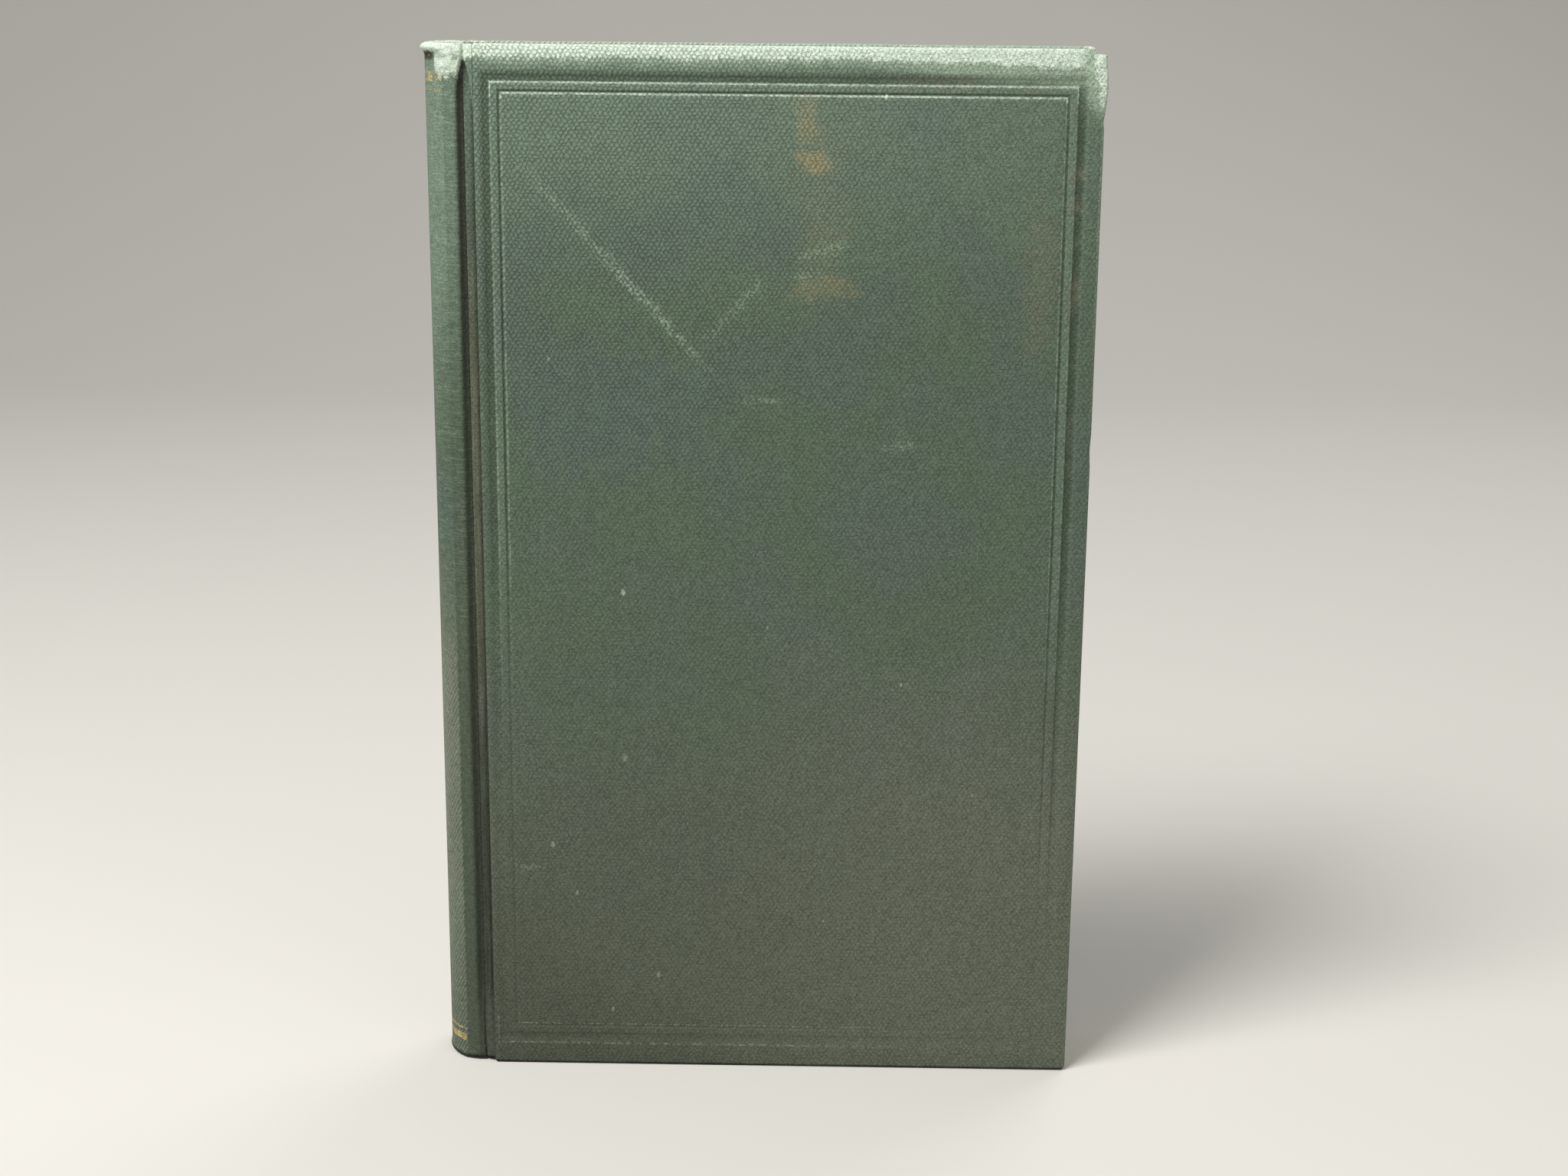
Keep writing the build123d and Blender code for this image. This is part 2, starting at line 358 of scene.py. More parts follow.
class Shader:
    """A material under construction, with places on the piece in millimetres."""

    def __init__(self, name, gloss=0.2):
        self.material = bpy.data.materials.new(name)
        self.material.use_nodes = True
        self.tree = self.material.node_tree
        self.surface = self.tree.nodes["Principled BSDF"]
        self.surface.inputs["Specular IOR Level"].default_value = gloss
        place = self.node("ShaderNodeTexCoord", {}, {}, "Object")
        self.place = self.node("ShaderNodeVectorMath", {"operation": "SCALE"}, {0: place, "Scale": 1 / MM})
        self.x, self.y, self.z = (
            self.node("ShaderNodeSeparateXYZ", {}, {0: self.place}, axis) for axis in "XYZ"
        )
        self.colour = None
        self.grains = {}

    def node(self, kind, settings, inputs, out=0):
        """Adds a node with these settings, and values or wires on its inputs; gives one output's wire."""
        made = self.tree.nodes.new(kind)
        for key, value in settings.items():
            setattr(made, key, value)
        for key, value in inputs.items():
            self.feed(made.inputs[key], value)
        return Wire(self, made.outputs[out])

    def feed(self, socket, value):
        """Links a wire to a socket, or sets the socket's own value."""
        if isinstance(value, Wire):
            self.tree.links.new(value.socket, socket)
        elif socket.type == "RGBA":
            socket.default_value = (*value, 1.0)
        else:
            socket.default_value = value

    def math(self, operation, *values):
        """The result of a Math node on these values or wires."""
        return self.node("ShaderNodeMath", {"operation": operation}, dict(enumerate(values)))

    def ramp(self, value, low, high):
        """0 at low, 1 at high and eased between them; low may be the larger."""
        inputs = {"Value": value, "From Min": low, "From Max": high}
        return self.node("ShaderNodeMapRange", {"interpolation_type": "SMOOTHSTEP"}, inputs)

    def band(self, value, low, high, edge):
        """1 between low and high, falling to 0 within an edge on both sides."""
        return self.ramp(value, low - edge, low + edge) * self.ramp(value, high + edge, high - edge)

    def grain(self, size, detail=2.0, stretch=(1, 1, 1), seed=0.0):
        """Noise whose patches are about this many millimetres across, longer along stretched axes."""
        key = (size, detail, stretch, seed)
        if key not in self.grains:
            scale = [1 / (size * share) for share in stretch]
            inputs = {0: self.place, 1: scale, 2: (seed, seed * 1.7, seed * 2.3)}
            place = self.node("ShaderNodeVectorMath", {"operation": "MULTIPLY_ADD"}, inputs)
            inputs = {"Vector": place, "Scale": 1.0, "Detail": detail}
            self.grains[key] = self.node("ShaderNodeTexNoise", {}, inputs)
        return self.grains[key]

    def mix(self, share, first, second, blend="MIX"):
        """A blend of two colours."""
        settings = {"data_type": "RGBA", "blend_type": blend}
        return self.node("ShaderNodeMix", settings, {0: share, 6: first, 7: second}, 2)

    def lay(self, share, tint_colour):
        """Lays a colour over what is there, as strongly as its share says."""
        self.colour = self.mix(share, self.colour, tint_colour)

    def finish(self, roughness, height, relief):
        """Links colour, roughness and relief to the surface and returns the material."""
        self.feed(self.surface.inputs["Base Color"], self.colour)
        self.feed(self.surface.inputs["Roughness"], roughness)
        inputs = {"Strength": 1.0, "Distance": relief, "Height": height}
        normal = self.node("ShaderNodeBump", {}, inputs, "Normal")
        self.feed(self.surface.inputs["Normal"], normal)
        return self.material


# Case cloth

BEAD_ACROSS = 1.0
BEAD_DOWN = 1.5


class Cloth(Shader):
    """Book cloth: an uneven dye, and a grain of pressed beads in staggered rows."""

    def __init__(self, name, tints, beading):
        super().__init__(name)
        self.tints = tints
        self.ragged = self.grain(3.2, 4.0, seed=5.0) - 0.5
        self.fray = self.grain(0.8, 3.0, seed=4.0) - 0.5
        self.fleck = self.grain(0.3, 2.0, seed=3.0) - 0.5
        self.patches = self.grain(19.0, 3.0, seed=1.0) - 0.5
        self.colour = self.mix(self.ramp(self.patches, -0.12, 0.16) * 0.5, tints.dye, tints.cool)
        rise, slip = ((self.grain(2.4, 1.0, seed=seed) - 0.5) * 1.1 for seed in (2.0, 6.0))
        self.behind = COVER_FACE / MM - abs(self.y)
        rows = ((self.z + self.behind + rise) * (2 * math.pi / BEAD_DOWN)).math("COSINE")
        columns = ((self.x + self.behind + slip) * (2 * math.pi / BEAD_ACROSS)).math("COSINE")
        depth = self.ramp(self.z + self.patches * 60, 100, 205) * self.ramp(self.x, 60, -40) * 0.6 + 0.25
        self.lattice = (rows * columns + (rows * rows - 0.5) * 0.6) * (depth * beading)
        self.speckle = self.ramp(self.fleck, -0.2, 0.2) - 0.5
        self.bead = self.ramp(self.lattice + self.fray * 1.2 + self.fleck * 1.0, -0.6, 0.6) - 0.5

    def rub(self, share, strength=1.0):
        """Bares the threads where share is high; the beads go first."""
        ragged = share + self.fray * 0.8 + self.fleck * 0.6 + self.lattice * 0.15
        self.lay(self.ramp(ragged, 0.1, 0.9) * self.ramp(share, 0.0, 0.3) * strength, self.tints.worn)

    def blotch(self, middle_x, middle_z, reach_x, reach_z, rough=1.4):
        """A soft-edged patch on a cover, with a ragged outline."""
        across = (self.x - middle_x) / reach_x
        down = (self.z - middle_z) / reach_z
        reach = (across * across + down * down).math("SQRT")
        return self.ramp(reach + self.ragged * rough + self.fray * 0.5, 1.1, 0.35)

    def scratch(self, start, end, width):
        """A scuffed line from start to end, given as (x, z), that has rubbed the beads it crossed."""
        step = Vector(end) - Vector(start)
        run = step.length
        step.normalize()
        across = self.x - start[0]
        down = self.z - start[1]
        along = across * step.x + down * step.y
        aside = abs(across * step.y - down * step.x + self.ragged * 2.4)
        ends = self.ramp(along, 0, run * 0.25) * self.ramp(along, run, run * 0.8)
        broken = self.ramp(self.fray + self.fleck + self.lattice * 0.2, -0.1, 0.3)
        return self.ramp(aside, width, width * 0.1) * ends * (broken * 0.85 + 0.15)

    def finish_cloth(self, relief):
        """Shows the grain in colour and relief and returns the material."""
        shade = self.bead * 0.5 + self.speckle * 0.32 + self.ragged * 0.2 + 1.0
        grey = self.node("ShaderNodeCombineXYZ", {}, {0: shade, 1: shade, 2: shade})
        self.colour = self.mix(1.0, self.colour, grey, "MULTIPLY")
        height = self.bead * 0.8 + self.speckle * 0.3
        return self.finish(self.fleck * 0.3 + 0.78, height, relief)


def cover_material(tints, sizes, side):
    """Cloth of a cover: painted light towards the head, browned at the tail, rubbed along its edges, with
    painted highlights and shade in its stamped lines and a painted shadow along the tail.
    """
    cloth = Cloth(f"{side}_cover_cloth", tints, 1.0)
    from_head = HEAD / MM - cloth.z
    from_fore = FORE_X / MM - cloth.x
    from_joint = cloth.x - JOINT_X / MM
    cloth.lay(cloth.ramp(from_head + cloth.patches * 50, 70, 190) * 0.9, tints.browned)
    # Painted light from above: the cover is lighter towards the head, more so on the joint side
    faded_and_lit = cloth.ramp(from_fore, 0, 90) * 0.3 + 0.35
    cloth.lay(cloth.ramp(from_head + cloth.patches * 30, 58, 2) * faded_and_lit, tints.faded_and_lit)
    dusty = cloth.ramp(from_fore, 95, 20) * 0.3
    cloth.lay(cloth.ramp(from_head + cloth.patches * 60, 95, 160) * dusty, tints.dusty)
    cloth.lay(cloth.ramp(from_joint * 0.8 + cloth.z + cloth.patches * 30, 60, 10) * 0.3, tints.dirt_and_shade)

    # Stamped frame
    inset = (from_joint - sizes.frame_joint_margin / MM).least(
        from_fore - sizes.frame_fore_margin / MM,
        from_head - sizes.frame_head_margin / MM,
        cloth.z - sizes.frame_head_margin / MM,
    )
    outer = sizes.broad_line / MM
    inner = outer + sizes.frame_ridge / MM
    panel = inner + sizes.fine_line / MM
    kept = cloth.ramp(cloth.z + cloth.patches * 40, 70, 125)
    # Floors of the stamped lines, which take painted shade below
    line_floor_shade = cloth.ramp(inset, 0.2, 0.9) * cloth.ramp(inset, outer - 0.15, outer - 0.4)
    line_floor_shade = line_floor_shade + cloth.band(inset, inner + 0.15, panel - 0.3, 0.1)
    # Walls of the stamped lines, which take painted highlights below
    panel_edge = cloth.band(inset, panel - 0.1, panel + 0.25, 0.12)
    edges = cloth.band(inset, outer - 0.15, outer + 0.15, 0.12) + panel_edge
    cloth.lay(cloth.band(inset, outer, inner, 0.2) * kept * 0.35, tints.faded_and_lit)
    # Painted highlight on the walls of the stamped lines, broken up by the threads
    cloth.lay(edges * kept * cloth.ramp(cloth.fray, -0.3, 0.15) * 0.38, tints.rubbed_and_highlight)
    # A stronger painted highlight on these walls near the head
    lit = cloth.ramp(from_head, 10.4, 9.8) * cloth.ramp(cloth.fray, -0.3, 0.1)
    cloth.lay(edges * lit * 0.52, tints.worn)
    # Painted highlight on the walls of the stamped lines near the tail, broken into dashes
    tail_line_highlights = cloth.band(inset, -0.25, 0.1, 0.12) + panel_edge
    tail_line_highlights = tail_line_highlights * cloth.ramp(cloth.z, 12, 10) * cloth.ramp(from_fore, 20, 60)
    cloth.lay(tail_line_highlights * cloth.ramp(cloth.fray + cloth.fleck, -0.2, 0.25) * 0.32, tints.rubbed_and_highlight)

    # Wear along the edges, painted shade in the floors of the stamped lines and a painted shadow along the
    # tail
    spread = cloth.ramp(from_fore, 50, 4)
    thin = cloth.ramp(from_head + cloth.ragged * 3 + cloth.fray * 2 - spread * 3.2, 4.8, 2.3)
    cloth.lay(thin * 0.75, tints.rubbed_and_highlight)
    # Painted shade in the floors of the stamped lines, weaker at the head towards the fore-edge
    dark = 0.65 + spread * 0.15 - spread * cloth.ramp(from_head, 16, 6) * 0.6
    cloth.lay(line_floor_shade * kept * dark, tints.pressed)
    cloth.rub(cloth.ramp(from_head + cloth.ragged * 2.0 - spread * 1.0, 3.4, 1.2), 0.92)
    cloth.lay(cloth.ramp(cloth.behind + cloth.ragged * 2.5, 0.5, 1.6) * 0.6, tints.faded_and_lit)
    rim = cloth.ramp(from_fore + cloth.ragged * 0.7 + cloth.fray * 0.8, 0.7, 0.25)
    cloth.lay(rim * (cloth.ramp(from_head, 90, 10) * 0.5 + 0.2), tints.rubbed_and_highlight)
    corner = (from_fore * from_fore * 9 + from_head * from_head).math("SQRT")
    cloth.lay(cloth.ramp(corner + cloth.ragged * 7 + cloth.fray * 4, 15.5, 10.0) * 0.85, tints.rubbed_and_highlight)
    cloth.rub(cloth.ramp(corner + cloth.ragged * 8 + from_fore * 2, 15.0, 8.0) * 0.75)
    # Painted shadow: near-black along the tail, where the cover meets the floor
    cloth.lay(cloth.ramp(cloth.z + cloth.ragged * 0.6, 0.9, 0.35) * 0.85, tints.painted_tail_shadow)

    # Brownish marks along the bands on the fore-edge side
    marks = cloth.band(inset, 0.3, inner, 0.3) * cloth.ramp(cloth.ragged + cloth.patches, -0.1, 0.16)
    cloth.lay(marks * cloth.ramp(from_fore, 70, 10) * cloth.ramp(from_head, 110, 40) * 0.3, tints.rust)

    if side == "front":
        front_marks(cloth, tints)
    else:
        cloth.lay(cloth.ramp(cloth.patches + cloth.ragged, 0.16, 0.34) * 0.3, tints.faded_and_lit)
    return cloth.finish_cloth(0.1 * MM)


def front_marks(cloth, tints):
    """Stains, scratches and specks of the front panel, at places (x, z) on it."""
    blotches = (
        (-30.0, 141.0, 20.0, 16.0, 2.2, 0.45, tints.cool),
        (54.0, 166.0, 4.0, 18.0, 2.4, 0.25, tints.rust),
        (12.0, 178.0, 5.5, 19.0, 2.4, 0.13, tints.stain),
        (8.8, 195.5, 2.4, 6.0, 1.6, 0.35, tints.stain),
        (10.5, 188.6, 4.6, 2.8, 2.0, 0.6, tints.stain),
        (12.0, 164.5, 7.5, 3.0, 2.2, 0.25, tints.stain),
    )
    for x, z, reach_x, reach_z, rough, strength, colour in blotches:
        cloth.lay(cloth.blotch(x, z, reach_x, reach_z, rough) * strength, colour)
    scratches = (
        ((5.7, 201.5), (11.0, 190.5), 2.4, 0.45, tints.stain),
        ((5.7, 170.0), (18.2, 173.0), 1.8, 0.3, tints.rubbed_and_highlight),
        ((4.7, 166.5), (13.4, 167.5), 1.5, 0.25, tints.rubbed_and_highlight),
        ((-48.4, 190.0), (-7.8, 146.0), 1.6, 0.42, tints.rubbed_and_highlight),
        ((-30.0, 170.0), (-9.0, 147.0), 1.2, 0.35, tints.rubbed_and_highlight),
        ((-12.7, 152.0), (1.8, 167.0), 1.6, 0.3, tints.rubbed_and_highlight),
        ((-4.0, 142.0), (5.7, 142.5), 1.2, 0.35, tints.rubbed_and_highlight),
        ((23.1, 133.0), (31.8, 134.0), 1.4, 0.35, tints.rubbed_and_highlight),
        ((-50.3, 44.0), (-42.6, 44.5), 1.0, 0.3, tints.rubbed_and_highlight),
    )
    for start, end, width, strength, colour in scratches:
        cloth.lay(cloth.scratch(start, end, width) * strength, colour)
    specks = (
        (23.8, 200.8, 0.5, 0.9), (-27.0, 103.0, 0.7, 0.6), (29.0, 84.5, 0.4, 0.5),
        (-26.9, 68.2, 0.8, 0.25), (-41.9, 49.2, 0.6, 0.35), (-20.2, 20.5, 0.7, 0.25),
        (-29.8, 12.6, 0.5, 0.3), (-41.2, 150.0, 0.4, 0.3), (-37.0, 38.5, 0.6, 0.25),
        (2.0, 96.0, 0.3, 0.3), (44.0, 61.0, 0.35, 0.3), (14.0, 33.0, 0.3, 0.25),
    )
    for x, z, reach, strength in specks:
        cloth.lay(cloth.blotch(x, z, reach * 0.8, reach * 1.3, 1.0) * strength * 0.75, tints.worn)


def stamp_strength(u, v):
    """How deep the stamped frame still is: sharp at the head, rubbed away towards the tail."""
    least = lerp(0.45, 0.12, u)
    return least + (1 - least) * smooth(lerp(0.28, 0.1, u), lerp(0.66, 0.36, u), v)


def cover_section(sizes, thickness):
    """Rings of a cover's cloth: from the panel over the stamped frame, round the edge and into the turn-in.

    Each ring is (share of the frame's margins, inset, depth below the face)."""
    wall_slope = math.tan(math.radians(40))
    panel_rim = 1.2 * MM
    margin_rim = 0.25 * MM
    line_softness = 0.12 * MM
    edge = sizes.edge_radius
    outer = sizes.broad_line
    inner = outer + sizes.frame_ridge
    panel = inner + sizes.fine_line
    fine_wall = sizes.fine_depth * wall_slope
    broad_wall = sizes.broad_depth * wall_slope
    broad_slope = 0.9 * MM
    stamped = [
        (1, panel + panel_rim, 0),
        (1, panel, 0),
        (1, panel - fine_wall, sizes.fine_depth),
        (1, inner + fine_wall, sizes.fine_depth),
        (1, inner, 0),
        (1, outer, 0),
        (1, outer - broad_wall, sizes.broad_depth),
        (1, broad_slope, sizes.broad_depth),
        (1, 0, 0),
        (1, -margin_rim, 0),
        (0, edge, 0),
    ]
    rings = softened(stamped, line_softness)
    quarter = [math.radians(angle) for angle in (22.5, 45, 67.5, 90)]
    rings += [(0, edge * (1 - math.sin(turn)), edge * (1 - math.cos(turn))) for turn in quarter]
    back = sizes.cloth_thickness
    rings += [(0, 0, thickness / 2), (0, 0, thickness - back)]
    rings += [(0, back * (1 - math.cos(turn)), thickness - back * (1 - math.sin(turn))) for turn in quarter]
    rings += [(0, share * sizes.turn_in, thickness) for share in (0.1, 0.35, 0.7, 1.0)]
    return rings


# Bulge and dents down the fore-edge: how far out, how far below the head and their reach, in millimetres
FORE_EDGE_KNOCKS = ((0.5, 7.0, 4.2), (-0.3, 13.2, 0.8), (-0.35, 78.0, 1.0))


def knocked(point):
    """The front cover's knocks: a crushed corner at the head, and the bulge and dents below it."""
    x, y, z = point
    crushed = HEAD - 1.15 * MM * smooth(FORE_X - 3.0 * MM, FORE_X - 2.4 * MM, x)
    if z > crushed:
        z = lerp(crushed, z, 0.12)
    near = smooth(FORE_X - 4 * MM, FORE_X, x)
    for out, below, reach in FORE_EDGE_KNOCKS:
        x += near * out * MM * bell(z, HEAD - below * MM, reach * MM)
    return Vector((x, y, z))


def cover_sheet(sizes, side):
    """Cloth of one cover as one sheet, from its panel to the edge of its turn-in."""
    outward = SIDES[side]
    low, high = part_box(f"{side}_cloth")
    face = low.y if outward < 0 else high.y
    thickness = high.y - low.y
    joint_lap = 1.2 * MM
    inner_corner = 0.15 * MM
    rings = cover_section(sizes, thickness)

    def place(shares, ring):
        u, v = shares
        share, inset, depth = ring
        lapped = lerp(sizes.cloth_thickness, joint_lap, inset / sizes.turn_in)
        joint_inset = inset if depth < thickness else lapped
        left = low.x + share * sizes.frame_joint_margin + joint_inset
        right = high.x - share * sizes.frame_fore_margin - inset
        tail = low.z + share * sizes.frame_head_margin + inset
        head = high.z - share * sizes.frame_head_margin - inset
        corner = sizes.corner_radius if u > 0.5 else sizes.edge_radius
        radius = inner_corner if share else max(corner - inset, inner_corner)
        square = Vector((lerp(left, right, u), 0, lerp(tail, head, v)))
        middle = Vector((
            min(max(square.x, left + radius), right - radius),
            0,
            min(max(square.z, tail + radius), head - radius),
        ))
        arm = square - middle
        spot = middle + arm.normalized() * radius if arm.length > 0 and ring is not rings[0] else square
        if share:
            depth *= stamp_strength(u, v)
        waves = 0.1 * MM * wobble((spot.x, 0, 0), 14 * MM, seed=outward)
        spot.z += waves * smooth(HEAD - 4 * MM, HEAD, spot.z)
        spot.y = face - outward * depth
        if outward < 0 and not share and u < 0.5:
            shut = smooth(high.z - 14 * MM, high.z - 8 * MM, spot.z)
            shut *= smooth(2 * MM, 0.7 * MM, spot.x - left)
            spot.y -= 0.9 * shut * smooth(sizes.edge_radius, 0, depth) * (spot.y - face)
        return knocked(spot) if outward < 0 else spot

    return panelled_sheet((64, 110, 0.85), rings, place)


class BOOK_OT_cover_cloths(bpy.types.Operator):
    """Build the cloth of both covers, with its stamped frame and turn-ins"""

    bl_idname = "book.cover_cloths"
    bl_label = "Cover Cloths"

    def execute(self, context):
        sizes, tints = context.scene.book_sizes, context.scene.book_cloth
        for side in SIDES:
            bm = cover_sheet(sizes, side)
            material = cover_material(tints, sizes, side)
            name = f"{side}_case_cloth"
            nodes = [f"{side}_cloth"]
            piece = make_piece(bm, name, material, nodes, wall=sizes.cloth_thickness)
            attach(piece, f"{side}_cover")
        return {"FINISHED"}


# Spine and joints

# A joint pinched shut at the head: the slit's share of the way across, how far down the cloth is shut
# there, and how much further down at the sides, in millimetres
SLIT = 0.5
SLIT_TOP = 3.0
SLIT_SPREAD = 9.0


def spine_circle(sizes):
    """Radius and centre of the round spine's outside, and the angle of its ridges from the middle."""
    level = COVER_FACE - sizes.ridge_drop
    radius = arc_radius(level, sizes.spine_rise)
    return radius, SPINE_X + radius, math.asin(level / radius)


def groove_level(sizes):
    """Level of the outside of the cloth in a groove."""
    return GROOVE_INSIDE + sizes.cloth_thickness


def pinched(point, sizes, behind):
    """Lifts the cloth of a joint where it is pinched: shut to a slit at the head, less so at the tail."""
    x, y, z = point
    ridge_x = SPINE_X + sizes.spine_rise
    if x <= ridge_x:
        return point
    across = (x - ridge_x) / (JOINT_X - ridge_x)
    from_slit = abs(across - SLIT) / SLIT
    reach = (SLIT_TOP + SLIT_SPREAD * from_slit**2) * MM
    share = max(smooth(HEAD - reach * 1.3, HEAD - reach * 0.85, z), 0.7 * smooth(20 * MM, 5 * MM, z))
    flush = COVER_FACE - lerp(sizes.ridge_drop, 0.06 * MM, smooth(0.0, 0.9, across))
    flush -= 0.8 * MM * bell(across, SLIT, 0.08) + 0.15 * MM * wobble((x, 0, z), 1.3 * MM, 5.0)
    return Vector((x, math.copysign(lerp(abs(y), flush - behind, share), y), z))


def pinch_share(cloth, sizes):
    """Where the cloth of a joint is pinched shut at the head, as a wire."""
    ridge_x = (SPINE_X + sizes.spine_rise) / MM
    across = (cloth.x - ridge_x) / (JOINT_X / MM - ridge_x)
    from_slit = abs(across - SLIT) / SLIT
    reach = from_slit * from_slit * SLIT_SPREAD + SLIT_TOP
    return cloth.ramp(reach * 1.15 - (HEAD / MM - cloth.z) + cloth.fray * 1.5, -0.5, 0.6)


def lifted(height, turn):
    """Height of the case cloth's tail beside the joints, which stands a little clear of the floor."""
    beside = bell(abs(turn), math.radians(76), math.radians(13))
    return height + 0.9 * MM * beside * smooth(9 * MM, 0, height)


def cap_radius(sizes):
    """Radius at which the case cloth folds over its card at head and tail."""
    return sizes.cloth_thickness + sizes.inlay_thickness / 2


def capped_rows(sizes, turn_in):
    """Rows of a cloth from inside the tail, round its fold, up the outside and into the head.

    Each row is (height, how far it lies behind the outer face)."""
    steps = 130
    fold = cap_radius(sizes)
    cap = [math.radians(angle) for angle in range(0, 181, 20)]
    tail = [(share * turn_in, 2 * fold) for share in (1.0, 0.6, 0.3)]
    tail += [(fold * (1 - math.sin(turn)), fold * (1 + math.cos(turn))) for turn in cap]
    outside = [(lerp(fold, HEAD - fold, eased(step / steps, 0.88)), 0.0) for step in range(1, steps)]
    head = [(HEAD - height, behind) for height, behind in reversed(tail)]
    return tail + outside + head


def spine_section(sizes):
    """Points and outward normals of the spine's cloth, from one groove over the ridges to the other."""
    radius, centre, ridge = spine_circle(sizes)
    level = COVER_FACE - sizes.ridge_drop
    ridge_x = SPINE_X + sizes.spine_rise
    floor = groove_level(sizes)
    bend = 0.55 * MM
    arc_steps = 72
    arc_end = ridge - 1.1 * MM / radius
    side = [(FOOT_X, -floor, 0), (ridge_x + sizes.groove_wall, -floor, 0), (ridge_x, -level, 0)]
    side.append((centre - radius * math.cos(arc_end), -radius * math.sin(arc_end), 0))
    front = softened(side, bend)
    turns = [lerp(arc_end, -arc_end, step / arc_steps) for step in range(1, arc_steps)]
    arc = [Vector((centre - radius * math.cos(turn), -radius * math.sin(turn), 0)) for turn in turns]
    back = [Vector((point.x, -point.y, 0)) for point in reversed(front)]
    line = front + arc + back
    section = []
    for before, point, after in zip([line[0]] + line, line, line[1:] + [line[-1]]):
        run = (after - before).normalized()
        section.append((point, Vector((-run.y, run.x, 0))))
    return section


def spine_relief(frayed, y, height, turn, inlay_end):
    """How far the spine's cloth stands out from its round, by its wear and by the card beneath."""
    lip = 0.85 * MM * bell(height, HEAD - 0.9 * MM, 0.85 * MM) * smooth(1.15, 0.75, abs(turn))
    torn = 0.5 * MM * bell(height, HEAD - 2.3 * MM, 0.8 * MM) * bell(turn, 0.48, 0.2)
    beside_joint = smooth(0.7, 0.95, turn) * smooth(HEAD - 8 * MM, HEAD - 4 * MM, height)
    fluff = 0.35 * MM * beside_joint * (1 + wobble((0, y, height), 1.1 * MM, 4.0))
    tail_roll = 0.2 * MM * bell(height, 0.7 * MM, 0.8 * MM)
    past_card = 0.16 * MM * smooth(inlay_end, inlay_end + 0.03, abs(turn))
    return lip * (1 + 0.4 * frayed) - torn + fluff + tail_roll - past_card


def spine_sheet(sizes):
    """Cloth round the spine, with rolled caps at head and tail."""
    radius, centre, ridge = spine_circle(sizes)
    inlay_end = ridge - sizes.inlay_gap / radius
    stub = 3 * MM

    def place(point, row):
        spot, normal = point
        height, behind = row
        turn = math.atan2(-spot.y, centre - spot.x)
        on_arc = smooth(ridge + 0.02, ridge - 0.08, abs(turn))
        if behind:
            inside = min(height, HEAD - height)
            short = max(min(inside, cap_radius(sizes)), inside * stub / sizes.spine_turn_in)
            height = lerp(short if height < HEAD / 2 else HEAD - short, height, on_arc)
        push = -lerp(min(behind, sizes.cloth_thickness), behind, on_arc)
        outside = smooth(0.9 * MM, 0.0, behind) * on_arc
        frayed = wobble((0, spot.y, height), 2.4 * MM, 2.0)
        relief = spine_relief(frayed, spot.y, height, turn, inlay_end)
        placed = spot + normal * (push + relief * outside)
        placed.z = lifted(height + 0.25 * MM * frayed * smooth(HEAD - 1.5 * MM, HEAD, height), turn)
        return pinched(placed, sizes, min(behind, sizes.cloth_thickness))

    return swept_sheet(spine_section(sizes), capped_rows(sizes, sizes.spine_turn_in), place)


